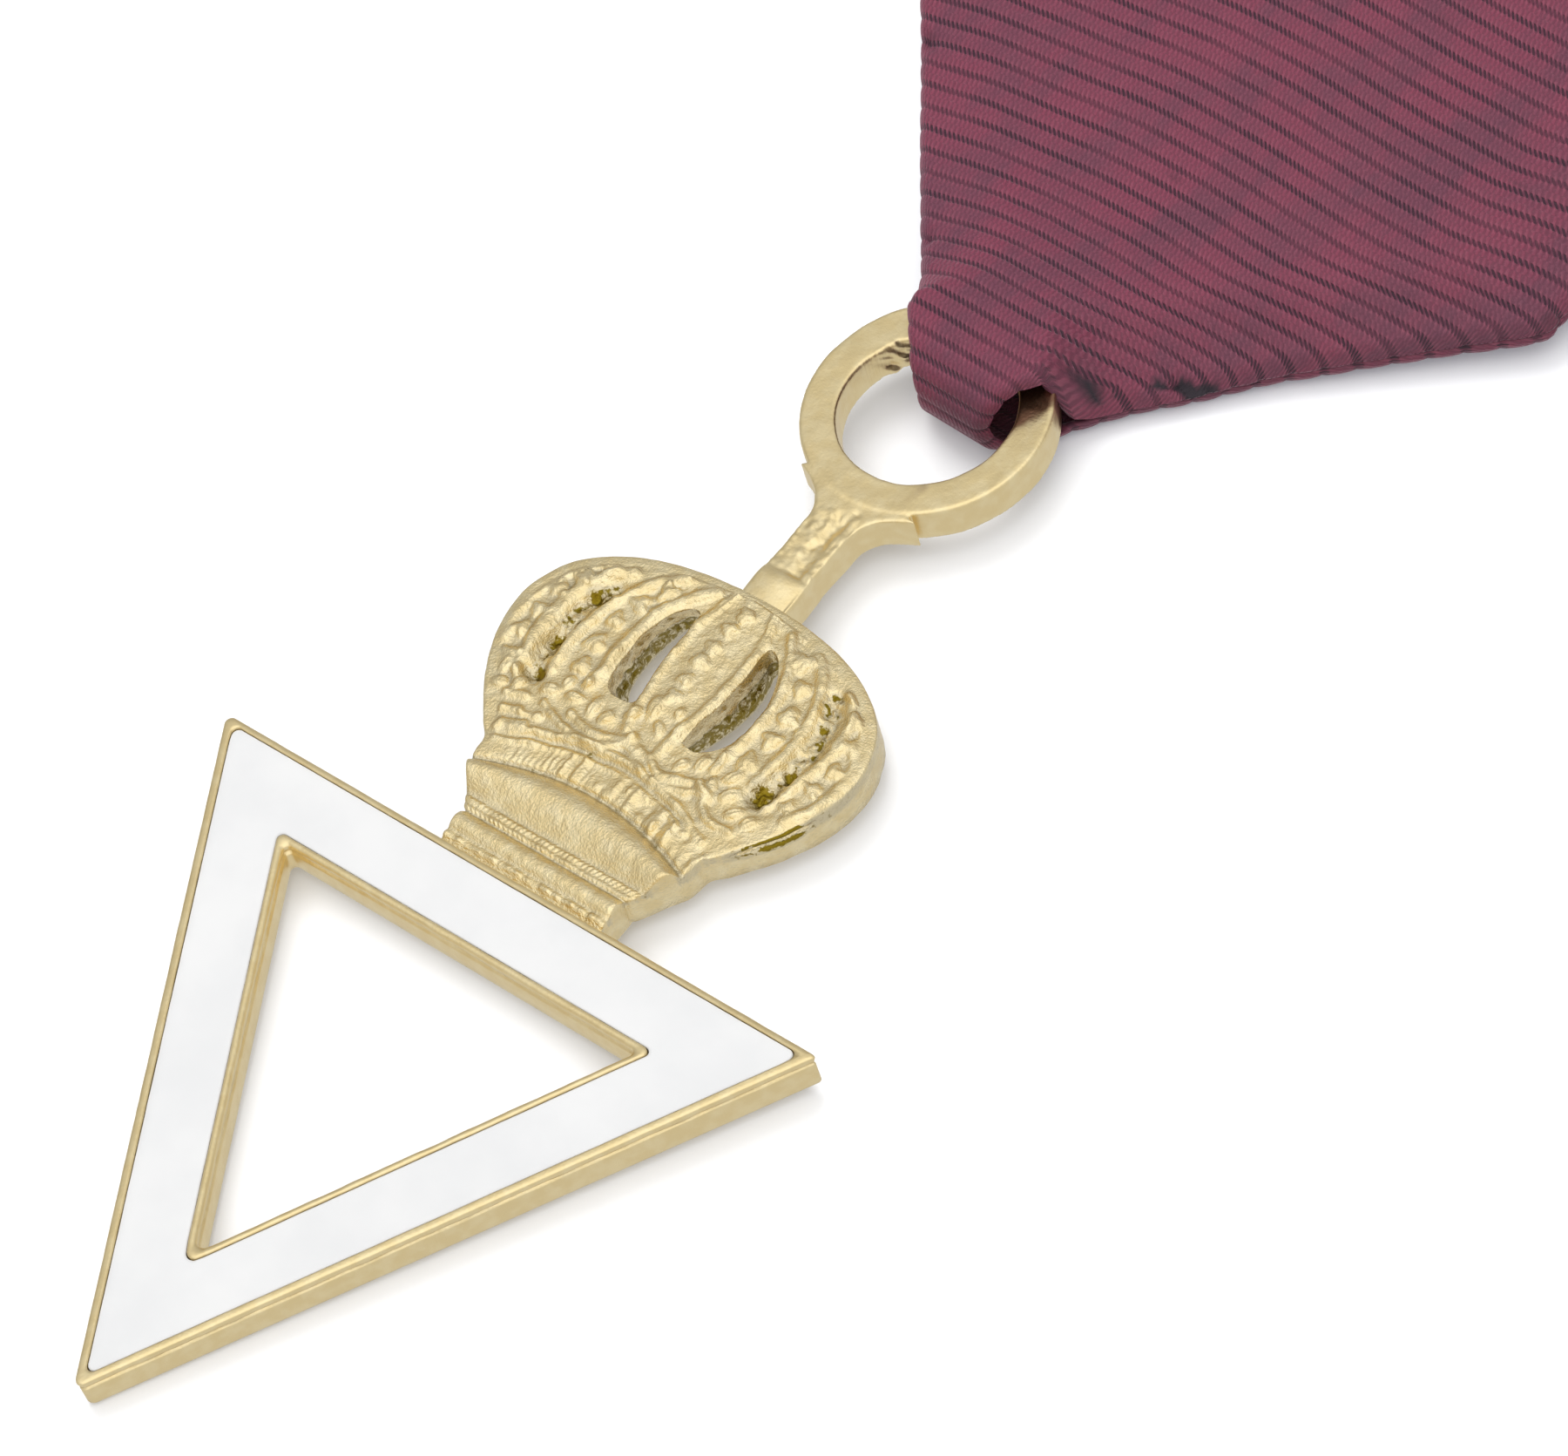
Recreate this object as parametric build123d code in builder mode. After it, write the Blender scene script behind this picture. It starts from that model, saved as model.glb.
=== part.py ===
"""A breast jewel that lies on a table: a triangle of gilt metal and white enamel, point down, under a crown
with a stem and a ring, on a corded ribbon that is folded to a point round the ring.

The frame: +X across the jewel, +Y along it from the point of the triangle to the end of the ribbon, +Z up.
The origin is on the table under the middle of the whole."""
from math import cos, radians, sin, sqrt, tan
import os

from build123d import *

os.makedirs("parts", exist_ok=True)

# Driving dimensions, in millimetres and degrees

SIDE = 30.0                # outer side of the triangle, which the other sizes of the metal follow
RIBBON_WIDTH = 33.0        # the ribbon across its ribs, before it is folded
RIBBON_LENGTH = 50.0       # from where its folded sides would meet to its top end
CLOTH = 1.0                # wall of the ribbon
FOLD_ANGLE = 42.0          # each folded side to the ribbon's own length
LEAN = 3.7                 # the ribbon leans this much to the right of the jewel
TILT = 1.4                 # the ribbon under the ring lifts the metal by this angle, on the triangle's point

# Where the middle of the triangle's top side lies from the origin

TOP_SIDE_X = -3.73
TOP_SIDE_Y = -26.57

# Triangle

HEIGHT = SIDE * sqrt(3) / 2
PLATE = 1.68               # thickness of the frame
RIM = 0.36                 # outer wall round the enamel
INNER_RIM = 3.10           # from the outer side to the wall inside the enamel
HOLE = 3.42                # from the outer side to the open middle
TRAY_DEPTH = 0.55
TIP_ROUND = 0.75           # outer corners
ENAMEL_ROUND = 0.45        # corners of the tray
HOLE_ROUND = 0.35
ENAMEL_GAP = 0.04          # enamel to metal
ENAMEL_SINK = 0.08         # the enamel's face under the rims

# Crown

AXIS_X = 0.24              # the crown, stem and ring stand a little right of the middle
CROWN_PLATE = 1.25         # face of the plain ground
CROWN_RELIEF = 0.40        # arches above the ground
BAND_RELIEF = 0.30         # rounded band above the ground
BASE_BEAD_Y = 0.97
BASE_BEAD_HALF = 4.04
BASE_BEAD_R = 0.42
ROPE_Y = 1.95
ROPE_R = 0.20
BAND_BOTTOM = 2.20
BAND_FOOT = 4.30           # half of the band's length at its bottom, and at its top
BAND_SIDE = 5.20
BAND_TOP_SIDE = 3.55
BAND_TOP_MIDDLE = 4.65
TOOTH_WIDTH = 0.34
TOOTH_PITCH = 0.78
TOOTH_COUNT = 13
TOOTH_HEIGHT = 1.25
TOOTH_RISE = 0.2
TOOTH_GAP = 0.15
LINE_WIDTH = 0.42
LINE_RISE = 0.30
LINE_MIDDLE = 6.45
LINE_SIDE = 5.15
LINE_HALF = 5.9
PEARL_R = 0.42
PEARL_SIDES = 10
PEARL_RISE = 0.25
PEARL_TAPER = 35
LEAF_LENGTH = 1.7
LEAF_WIDTH = 0.9

# Right half of the crown's outline above its base band: height above the triangle's side, and half width
CROWN_OUTLINE = (
    # y, half
    (1.60, 4.10),
    (3.45, 5.35),
    (6.90, 7.30),
    (10.60, 8.50),
    (13.10, 7.40),
    (14.70, 4.70),
    (15.15, 1.00),
)

# Straps of the right half, each an arc through three points, and the pearls on it
STRAPS = (
    # low, middle, high, width, pearls
    ((3.45, 7.90), (4.15, 11.00), (1.70, 14.35), 1.55, 7),
    ((6.10, 7.60), (7.45, 10.60), (4.60, 13.85), 1.55, 8),
)

# Slot cut through, right of the middle: two arcs between its tips
SLOT_TIPS = ((2.05, 8.75), (1.75, 13.35))
SLOT_INNER = 1.90
SLOT_OUTER = 3.05
SLOT_MIDDLE_Y = 11.0

# Lens in the middle
LENS_BOTTOM = 8.2
LENS_TOP = 14.7
LENS_MIDDLE = 11.3
LENS_HALF = 1.5
LENS_PEARLS = 7

# Leaves under the arches: place across, height above the triangle's side
LEAVES = (
    # x, y
    (0.0, 8.05),
    (2.55, 7.55),
    (5.25, 6.75),
)

# Stem and ring

STEM_BOTTOM = 14.8
STEM_TOP = 20.1
STEM_HALF = 1.0
STEM_THICK = 1.5
FLARE_TOP = 21.4
FLARE_HALF = 2.1
RING_Y = 25.89
RING_OUTER = 5.115
RING_INNER = 3.687
RING_THICK = 1.48
RING_ROUND = 0.3

# Ribbon, in its own plan: v runs up from where the folded sides would meet, z up from the table

FOLD_POINT = (0.70, 24.95)     # that meeting point, from the middle of the triangle's top side
LIP_V = 1.25                   # lowest point of the loop
LOOP_HEIGHT = 4.40
LOOP_END = 6.9                 # the front comes down from the ring past here
PANEL_START = 12.0
PANEL_HEIGHT = 3.30
RAISED_FROM = 9.0              # from here the back rises to the bar
RAISED_TO = 45.5
END_LOW = 3.0
END_HIGH = 5.2
HOLLOW_END = 44.0
SIDE_WALL = 1.0
CORNER_ROUND = 1.2             # where a folded side meets the ribbon's own edge
NECK_ROUND = 2.0
TUNNEL_END = 6.4               # the ring goes in and out below here

# Right half of the loop's outline, below the folded sides
NECK = (
    # v, half
    (1.25, 1.70),
    (1.75, 2.15),
    (2.75, 2.35),
    (4.20, 3.75),
    (5.70, 5.13),
)

# Bar

BAR_LENGTH = 36.0
BAR_BOTTOM_V = 46.4
BAR_TOP_V = 52.4
BAR_LOW = 2.0
BAR_HIGH = 6.2
BAR_WALL = 0.7
BAR_ROUND = 0.5
SLOT_END_V = 50.6
SLOT_SIDE = 17.0               # half of the slot's length
PIN_R = 0.5
PIN_V = 49.4
PIN_Z = 0.85
LUG_WIDTH = 2.4
LUG_DEEP = 2.6
LUG_AT = 15.0                  # lugs from the middle

# A corner of 60 degrees loses its rounding's radius in height
LIFT = (HEIGHT - TIP_ROUND) * sin(radians(TILT))

JEWEL = Plane(
    origin=(TOP_SIDE_X, TOP_SIDE_Y, LIFT),
    x_dir=(1, 0, 0),
    z_dir=(0, -sin(radians(TILT)), cos(radians(TILT))),
)
RIBBON = Plane(
    origin=(TOP_SIDE_X + FOLD_POINT[0], TOP_SIDE_Y + FOLD_POINT[1], 0),
    x_dir=(cos(radians(LEAN)), -sin(radians(LEAN)), 0),
    z_dir=(0, 0, 1),
)
RIBBON_SIDE = Plane(origin=RIBBON.origin, x_dir=RIBBON.y_dir, z_dir=RIBBON.x_dir)


def triangle_points(offset):
    """Corners of the triangle, point down, with its sides moved inwards."""
    half = SIDE / 2 - offset * sqrt(3)
    return [(-half, -offset), (0, -HEIGHT + 2 * offset), (half, -offset)]


def across(x):
    """Place across the jewel of a point that is given from the crown's own axis."""
    return AXIS_X + x


def arch(x, middle, side, half):
    """Height of an arched line at x, from its height in the middle and at half its span."""
    return middle - (middle - side) * (x / half) ** 2


def fold_half(v, inset=0.0):
    """Half width of the folded ribbon at v, less a wall."""
    angle = radians(FOLD_ANGLE)
    return min(v * tan(angle) - inset / cos(angle), RIBBON_WIDTH / 2 - inset)


# Metal: the triangle, the crown, the stem and the ring in one casting

with BuildPart(JEWEL) as jewel_casting:
    # Frame of the triangle with a tray for the enamel, open in the middle
    with BuildSketch(JEWEL):
        Polygon(*triangle_points(0), align=None)
        fillet(vertices(), TIP_ROUND)
    extrude(amount=PLATE)
    with BuildSketch(JEWEL.offset(PLATE)):
        Polygon(*triangle_points(RIM), align=None)
        Polygon(*triangle_points(INNER_RIM), align=None, mode=Mode.SUBTRACT)
        fillet(vertices(), ENAMEL_ROUND)
    extrude(amount=-TRAY_DEPTH, mode=Mode.SUBTRACT)
    with BuildSketch(JEWEL):
        Polygon(*triangle_points(HOLE), align=None)
        fillet(vertices(), HOLE_ROUND)
    extrude(amount=PLATE, mode=Mode.SUBTRACT)

    # Ground plate of the crown
    with BuildSketch(JEWEL):
        with BuildLine():
            Polyline(
                (across(0), -RIM / 2),
                (across(BASE_BEAD_HALF), -RIM / 2),
                (across(BASE_BEAD_HALF), CROWN_OUTLINE[0][0] - 0.2),
                (across(CROWN_OUTLINE[0][1]), CROWN_OUTLINE[0][0]),
            )
            Spline(*[(across(half), y) for y, half in CROWN_OUTLINE])
            Line((across(CROWN_OUTLINE[-1][1]), CROWN_OUTLINE[-1][0]), (across(0), CROWN_OUTLINE[-1][0]))
            mirror(about=Plane.YZ.offset(AXIS_X))
        make_face()
    extrude(amount=CROWN_PLATE)

    # Base bead and rope line
    with Locations((across(0), BASE_BEAD_Y, CROWN_PLATE)):
        Cylinder(BASE_BEAD_R, 2 * BASE_BEAD_HALF, rotation=(0, 90, 0))
    with Locations((across(0), ROPE_Y, CROWN_PLATE)):
        Cylinder(ROPE_R, 2 * BASE_BEAD_HALF, rotation=(0, 90, 0))

    # Band with an arched top, and the teeth above it
    with BuildSketch(JEWEL.offset(CROWN_PLATE)):
        with BuildLine():
            Polyline(
                (across(-BAND_SIDE), BAND_TOP_SIDE),
                (across(-BAND_FOOT), BAND_BOTTOM),
                (across(BAND_FOOT), BAND_BOTTOM),
                (across(BAND_SIDE), BAND_TOP_SIDE),
            )
            ThreePointArc(
                (across(BAND_SIDE), BAND_TOP_SIDE),
                (across(0), BAND_TOP_MIDDLE),
                (across(-BAND_SIDE), BAND_TOP_SIDE),
            )
        make_face()
    extrude(amount=BAND_RELIEF)
    teeth = []
    for number in range(TOOTH_COUNT):
        x = (number - (TOOTH_COUNT - 1) / 2) * TOOTH_PITCH
        low = arch(x, BAND_TOP_MIDDLE, BAND_TOP_SIDE, BAND_SIDE)
        teeth.append((across(x), low + TOOTH_HEIGHT / 2 + TOOTH_GAP))
    with BuildSketch(JEWEL.offset(CROWN_PLATE)):
        with Locations(*teeth):
            Rectangle(TOOTH_WIDTH, TOOTH_HEIGHT)
    extrude(amount=TOOTH_RISE)

    # Arched line over the teeth
    with BuildSketch(JEWEL.offset(CROWN_PLATE)):
        with BuildLine():
            ThreePointArc(
                (across(-LINE_HALF), LINE_SIDE),
                (across(0), LINE_MIDDLE),
                (across(LINE_HALF), LINE_SIDE),
            )
        trace(line_width=LINE_WIDTH)
    extrude(amount=LINE_RISE)

    # Leaves
    with BuildSketch(JEWEL.offset(CROWN_PLATE)):
        with Locations(*[(across(side * x), y) for x, y in LEAVES for side in (-1, 1)]):
            Ellipse(LEAF_WIDTH / 2, LEAF_LENGTH / 2)
    extrude(amount=LINE_RISE)

    # Lens in the middle, and the straps on each side of it
    with BuildSketch(JEWEL.offset(CROWN_PLATE)):
        with BuildLine():
            ThreePointArc((across(0), LENS_BOTTOM), (across(LENS_HALF), LENS_MIDDLE), (across(0), LENS_TOP))
            ThreePointArc((across(0), LENS_TOP), (across(-LENS_HALF), LENS_MIDDLE), (across(0), LENS_BOTTOM))
        make_face()
    extrude(amount=CROWN_RELIEF)
    step = (LENS_TOP - LENS_BOTTOM) / (LENS_PEARLS + 1)
    pearls = [(across(0), LENS_BOTTOM + step * (number + 1)) for number in range(LENS_PEARLS)]
    for low, middle, high, width, count in STRAPS:
        for side in (-1, 1):
            points = [(across(side * x), y) for x, y in (low, middle, high)]
            with BuildSketch(JEWEL.offset(CROWN_PLATE)):
                with BuildLine() as path:
                    ThreePointArc(*points)
                trace(line_width=width)
            extrude(amount=CROWN_RELIEF)
            for number in range(count):
                place = path.line @ ((number + 0.5) / count)
                pearls.append((place.X, place.Y))

    # Slots on each side of the lens, cut through
    for side in (-1, 1):
        ends = [(across(side * x), y) for x, y in SLOT_TIPS]
        with BuildSketch(JEWEL):
            with BuildLine():
                ThreePointArc(ends[0], (across(side * SLOT_INNER), SLOT_MIDDLE_Y), ends[1])
                ThreePointArc(ends[1], (across(side * SLOT_OUTER), SLOT_MIDDLE_Y), ends[0])
            make_face()
        extrude(amount=PLATE + CROWN_RELIEF, both=True, mode=Mode.SUBTRACT)

    # Pearls, as low cut beads
    with BuildSketch(JEWEL.offset(CROWN_PLATE + CROWN_RELIEF)):
        with Locations(*pearls):
            RegularPolygon(PEARL_R, PEARL_SIDES)
    extrude(amount=PEARL_RISE, taper=PEARL_TAPER)

    # Stem, flared into the ring
    with BuildSketch(JEWEL):
        Polygon(
            (across(-STEM_HALF), STEM_BOTTOM),
            (across(STEM_HALF), STEM_BOTTOM),
            (across(STEM_HALF), STEM_TOP),
            (across(FLARE_HALF), FLARE_TOP),
            (across(-FLARE_HALF), FLARE_TOP),
            (across(-STEM_HALF), STEM_TOP),
            align=None,
        )
    extrude(amount=STEM_THICK)

    # Ring
    ring_centre = JEWEL.from_local_coords(Vector(across(0), RING_Y, 0))
    with BuildSketch(Plane(origin=ring_centre, x_dir=JEWEL.x_dir, z_dir=-JEWEL.y_dir)):
        with Locations(((RING_OUTER + RING_INNER) / 2, RING_THICK / 2)):
            RectangleRounded(RING_OUTER - RING_INNER, RING_THICK, RING_ROUND)
    revolve(axis=Axis(ring_centre, JEWEL.z_dir))

jewel_casting.part.label = "jewel_casting"
export_step(jewel_casting.part, "parts/jewel_casting.step")

# Enamel in the tray

with BuildPart(JEWEL) as enamel:
    with BuildSketch(JEWEL.offset(PLATE - TRAY_DEPTH + ENAMEL_GAP)):
        Polygon(*triangle_points(RIM + ENAMEL_GAP), align=None)
        Polygon(*triangle_points(INNER_RIM - ENAMEL_GAP), align=None, mode=Mode.SUBTRACT)
        fillet(vertices(), ENAMEL_ROUND)
    extrude(amount=TRAY_DEPTH - ENAMEL_GAP - ENAMEL_SINK)

enamel.part.label = "enamel"
export_step(enamel.part, "parts/enamel.step")

# Ribbon: first the space inside its walls, with a way in and out for the ring

loop_v = LIP_V + LOOP_HEIGHT / 2
loop_z = LOOP_HEIGHT / 2
rise = END_LOW / (RAISED_TO - RAISED_FROM)
fall = (END_HIGH - PANEL_HEIGHT) / (RAISED_TO - PANEL_START)
hollow_low = CLOTH + (HOLLOW_END - RAISED_FROM) * rise
hollow_high = PANEL_HEIGHT - CLOTH + (HOLLOW_END - PANEL_START) * fall
hollow_corner = (RIBBON_WIDTH / 2 - SIDE_WALL + SIDE_WALL / cos(radians(FOLD_ANGLE))) / tan(radians(FOLD_ANGLE))

with BuildPart() as hollow:
    with BuildSketch(RIBBON_SIDE):
        with BuildLine():
            ThreePointArc((loop_v, CLOTH), (LIP_V + CLOTH, loop_z), (loop_v, LOOP_HEIGHT - CLOTH))
            Polyline(
                (loop_v, LOOP_HEIGHT - CLOTH),
                (LOOP_END, LOOP_HEIGHT - CLOTH),
                (PANEL_START, PANEL_HEIGHT - CLOTH),
                (HOLLOW_END, hollow_high),
                (HOLLOW_END, hollow_low),
                (RAISED_FROM, CLOTH),
                (loop_v, CLOTH),
            )
        make_face()
    extrude(amount=RIBBON_WIDTH, both=True)
    with BuildSketch(RIBBON):
        Polygon(
            (-RIBBON_WIDTH / 2, 0),
            (RIBBON_WIDTH / 2, 0),
            (RIBBON_WIDTH / 2, TUNNEL_END),
            (fold_half(TUNNEL_END, SIDE_WALL), TUNNEL_END),
            (RIBBON_WIDTH / 2 - SIDE_WALL, hollow_corner),
            (RIBBON_WIDTH / 2 - SIDE_WALL, HOLLOW_END),
            (-RIBBON_WIDTH / 2 + SIDE_WALL, HOLLOW_END),
            (-RIBBON_WIDTH / 2 + SIDE_WALL, hollow_corner),
            (-fold_half(TUNNEL_END, SIDE_WALL), TUNNEL_END),
            (-RIBBON_WIDTH / 2, TUNNEL_END),
            align=None,
        )
    extrude(amount=LOOP_HEIGHT + END_HIGH, mode=Mode.INTERSECT)

# Ribbon: its side view, cut to its plan

fold_corner = RIBBON_WIDTH / 2 / tan(radians(FOLD_ANGLE))
right_side = [(half, v) for v, half in NECK]
right_side += [(RIBBON_WIDTH / 2, fold_corner), (RIBBON_WIDTH / 2, RIBBON_LENGTH)]
left_side = [(-x, v) for x, v in reversed(right_side)]

with BuildPart() as ribbon:
    with BuildSketch(RIBBON_SIDE):
        with BuildLine():
            ThreePointArc((loop_v, 0), (LIP_V, loop_z), (loop_v, LOOP_HEIGHT))
            Polyline(
                (loop_v, LOOP_HEIGHT),
                (LOOP_END, LOOP_HEIGHT),
                (PANEL_START, PANEL_HEIGHT),
                (RAISED_TO, END_HIGH),
                (RIBBON_LENGTH, END_HIGH),
                (RIBBON_LENGTH, END_LOW),
                (RAISED_TO, END_LOW),
                (RAISED_FROM, 0),
                (loop_v, 0),
            )
        make_face()
    extrude(amount=RIBBON_WIDTH, both=True)
    with BuildSketch(RIBBON):
        Polygon(*right_side, *left_side, align=None)
        fillet(vertices().filter_by_position(Axis.Y, fold_corner, fold_corner), CORNER_ROUND)
        fillet(vertices().filter_by_position(Axis.Y, NECK[-1][0], NECK[-1][0]), NECK_ROUND)
    extrude(amount=LOOP_HEIGHT + END_HIGH, mode=Mode.INTERSECT)
    add(hollow.part, mode=Mode.SUBTRACT)

ribbon.part.label = "ribbon"
export_step(ribbon.part, "parts/ribbon.step")

# Bar that holds the end of the ribbon, with its pin behind

with BuildPart() as brooch_bar:
    with BuildSketch(RIBBON_SIDE):
        with Locations(((BAR_BOTTOM_V + BAR_TOP_V) / 2, (BAR_LOW + BAR_HIGH) / 2)):
            RectangleRounded(BAR_TOP_V - BAR_BOTTOM_V, BAR_HIGH - BAR_LOW, BAR_ROUND)
    extrude(amount=BAR_LENGTH / 2, both=True)
    with BuildSketch(RIBBON_SIDE):
        with Locations((BAR_BOTTOM_V, (BAR_LOW + BAR_HIGH) / 2)):
            Rectangle(2 * (SLOT_END_V - BAR_BOTTOM_V), BAR_HIGH - BAR_LOW - 2 * BAR_WALL)
    extrude(amount=SLOT_SIDE, both=True, mode=Mode.SUBTRACT)
    with BuildSketch(RIBBON):
        with Locations((-LUG_AT, PIN_V), (LUG_AT, PIN_V)):
            Rectangle(LUG_WIDTH, LUG_DEEP)
    extrude(amount=BAR_LOW + BAR_WALL / 2)
    with BuildSketch(RIBBON_SIDE):
        with Locations((PIN_V, PIN_Z)):
            Circle(PIN_R)
    extrude(amount=LUG_AT, both=True)

brooch_bar.part.label = "brooch_bar"
export_step(brooch_bar.part, "parts/brooch_bar.step")

# Sizes

whole = Compound(children=[jewel_casting.part, enamel.part, ribbon.part, brooch_bar.part])
box = whole.bounding_box()
print("whole, mm:", [round(side, 2) for side in box.size])
print("middle of the box, which should be 0, 0:", round(box.center().X, 3), round(box.center().Y, 3))
print("lowest point:", round(box.min.Z, 4))
print("open middle of the triangle, side:", round(SIDE - 2 * HOLE * sqrt(3), 2))
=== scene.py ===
# %% [markdown]
# A breast jewel lies flat on a white table: a gilt triangle with white enamel, a crown above it, a stem, a ring,
# and a corded maroon ribbon that is folded round the ring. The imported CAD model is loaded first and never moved.
# Every piece that follows is built round it, in the same frame, in metres. The sizes below are in millimetres,
# because a jeweller thinks in millimetres, and one helper turns them into metres at the very end.

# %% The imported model
import math

import bmesh
import bpy
import numpy as np
from mathutils import Matrix, Vector


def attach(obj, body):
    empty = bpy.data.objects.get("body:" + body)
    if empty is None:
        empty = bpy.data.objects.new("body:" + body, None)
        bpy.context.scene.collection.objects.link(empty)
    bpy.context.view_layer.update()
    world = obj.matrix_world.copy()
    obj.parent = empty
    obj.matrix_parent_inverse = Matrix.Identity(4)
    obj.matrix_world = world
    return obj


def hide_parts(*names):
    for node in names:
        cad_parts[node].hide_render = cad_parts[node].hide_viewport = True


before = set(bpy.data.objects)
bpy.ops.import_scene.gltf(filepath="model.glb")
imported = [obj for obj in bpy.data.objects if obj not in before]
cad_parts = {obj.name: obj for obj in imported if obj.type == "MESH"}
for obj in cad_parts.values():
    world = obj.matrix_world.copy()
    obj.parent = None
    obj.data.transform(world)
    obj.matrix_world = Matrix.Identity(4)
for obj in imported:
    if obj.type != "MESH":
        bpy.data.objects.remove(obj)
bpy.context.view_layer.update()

scene = bpy.context.scene
print("CAD nodes:", sorted(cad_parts))

# %% [markdown]
# Two flat planes carry everything. The metal lies tipped by 1.4 degrees, because the ribbon under its ring lifts
# that end off the table. The ribbon runs up the table at 3.7 degrees to the metal. Each piece is drawn in its own
# plane, x across, y up, z out of the face, and `in_row` puts the points into the shared frame.

# %% Planes
MM = 0.001
TIP = math.radians(1.4)
LEAN = math.radians(3.7)
JEWEL = (
    np.array([-3.73, -26.57, 0.6165]),
    np.array([[1, 0, 0], [0, math.cos(TIP), math.sin(TIP)], [0, -math.sin(TIP), math.cos(TIP)]]),
)
RIBBON = (
    np.array([-3.03, -1.62, 0.0]),
    np.array([[math.cos(LEAN), -math.sin(LEAN), 0], [math.sin(LEAN), math.cos(LEAN), 0], [0, 0, 1]]),
)


def in_row(points, plane):
    """Points in a plane's millimetres become points in the row frame, in metres."""
    origin, axes = plane
    return (origin + np.asarray(points, float) @ axes) * MM


def put(name, data):
    """An object with this data, in the scene."""
    made = bpy.data.objects.new(name, data)
    scene.collection.objects.link(made)
    return made


print("the crown's foot in the row frame:", in_row([[0, 0, 0]], JEWEL).round(4))

# %% [markdown]
# The camera looks down at the jewel from its right, 53 degrees above the table and turned by 17.5 degrees, with a
# long lens, so the lines hardly converge. It is set from a place, a direction and a roll, which are easier to
# understand than three Euler angles.

# %% Camera
EYE = Vector((0.129479, -0.112974, 0.215610))
LOOK = Vector((-0.480961, 0.364280, -0.797481))
ROLL = math.radians(-17.506)

camera_data = bpy.data.cameras.new("camera")
camera_data.lens = 160
camera_data.sensor_width = 36
camera_data.clip_start = 0.01
camera_data.clip_end = 10
camera = put("camera", camera_data)
camera.matrix_world = (
    Matrix.Translation(EYE) @ LOOK.to_track_quat("-Z", "Y").to_matrix().to_4x4() @ Matrix.Rotation(ROLL, 4, "Z")
)
scene.camera = camera
scene.view_settings.view_transform = "Standard"
print("camera height in mm:", round(EYE.z * 1000, 1))

# %% [markdown]
# Materials are graphs of nodes, and their sums are easier to read as Python. `Wire` holds one output of a node.
# Adding, subtracting, multiplying or dividing wires adds the Math node for it, also when the number comes first,
# as in 1 - mask. Any other node comes from `node`, which sets the node's settings before its sockets.

# %% A wire of a material
class Wire:
    """One value in a material. Arithmetic on it adds Math nodes."""

    def __init__(self, tree, socket=None):
        self.tree = tree
        self.socket = socket

    def node(self, kind, settings=None, sockets=None, out=0):
        """Adds a shader node: its settings first, then values or wires into its sockets."""
        made = self.tree.nodes.new("ShaderNode" + kind)
        for name, value in (settings or {}).items():
            setattr(made, name, value)
        for name, value in (sockets or {}).items():
            if isinstance(value, Wire):
                self.tree.links.new(value.socket, made.inputs[name])
            else:
                made.inputs[name].default_value = value
        return Wire(self.tree, made.outputs[out])

    def math(self, operation, *others):
        return self.node("Math", {"operation": operation}, dict(enumerate((self, *others))))

    def __add__(self, other):
        return self.math("ADD", other)

    __radd__ = __add__

    def __mul__(self, other):
        return self.math("MULTIPLY", other)

    __rmul__ = __mul__

    def __sub__(self, other):
        return self.math("SUBTRACT", other)

    def __rsub__(self, other):
        return self.node("Math", {"operation": "SUBTRACT"}, {0: other, 1: self})

    def __truediv__(self, other):
        return self.math("DIVIDE", other)

    def __rtruediv__(self, other):
        return self.node("Math", {"operation": "DIVIDE"}, {0: other, 1: self})

    def step(self, low, high, at_low=0.0, at_high=1.0):
        """A soft step: at_low below low, at_high above high."""
        return self.node(
            "MapRange",
            {"interpolation_type": "SMOOTHSTEP"},
            {"Value": self, "From Min": low, "From Max": high, "To Min": at_low, "To Max": at_high},
        )

    def wave(self):
        """A sine with one turn for each whole number, from 0 to 1."""
        return (self * (2 * math.pi)).math("SINE") * 0.5 + 0.5


def mix_colour(factor, first, second):
    """first where factor is 0, second where it is 1."""
    return factor.node("Mix", {"data_type": "RGBA"}, {0: factor, 6: first, 7: second}, out=2)


def cast_noise(start, place, scale, detail=2.0, rough=0.5):
    return start.node("TexNoise", {}, {"Vector": place, "Scale": scale, "Detail": detail, "Roughness": rough})


def new_finish(name, values):
    """A material with its Principled shader's own sockets set, and a wire to start its graph from."""
    made = bpy.data.materials.new(name)
    made.use_nodes = True
    shader = made.node_tree.nodes["Principled BSDF"]
    for socket, value in values.items():
        shader.inputs[socket].default_value = value
    return made, shader, Wire(made.node_tree)


def join_to(shader, socket, wire):
    wire.tree.links.new(wire.socket, shader.inputs[socket])


print("a wire takes + - * / with a number or another wire on either side")

# %% [markdown]
# A studio tent stands round the jewel. Its light is a pale grey that is brightest high up on the camera's side and
# darkest low on the far side. Metal shows nothing but what it reflects, so this one slope of grey is what makes
# the relief readable: a facet that leans a little to the camera turns cream, one that leans away turns tan. A wide
# lamp overhead lights the table, a smaller one stands behind the jewel on its left, so that the short soft shadows
# fall to the right and towards the camera, and a weak one fills the walls that face the camera. All three look at
# the middle of the table, and the gilt doesn't mirror them.

# %% Sky and lamps
def lamp(name, place, size, power):
    data = bpy.data.lights.new(name, "AREA")
    data.shape = "DISK"
    data.size = size
    data.energy = power
    made = put(name, data)
    made.location = place
    made.rotation_mode = "QUATERNION"
    made.rotation_quaternion = (Vector((0, 0, 0)) - Vector(place)).to_track_quat("-Z", "Y")
    made.visible_glossy = False


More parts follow.
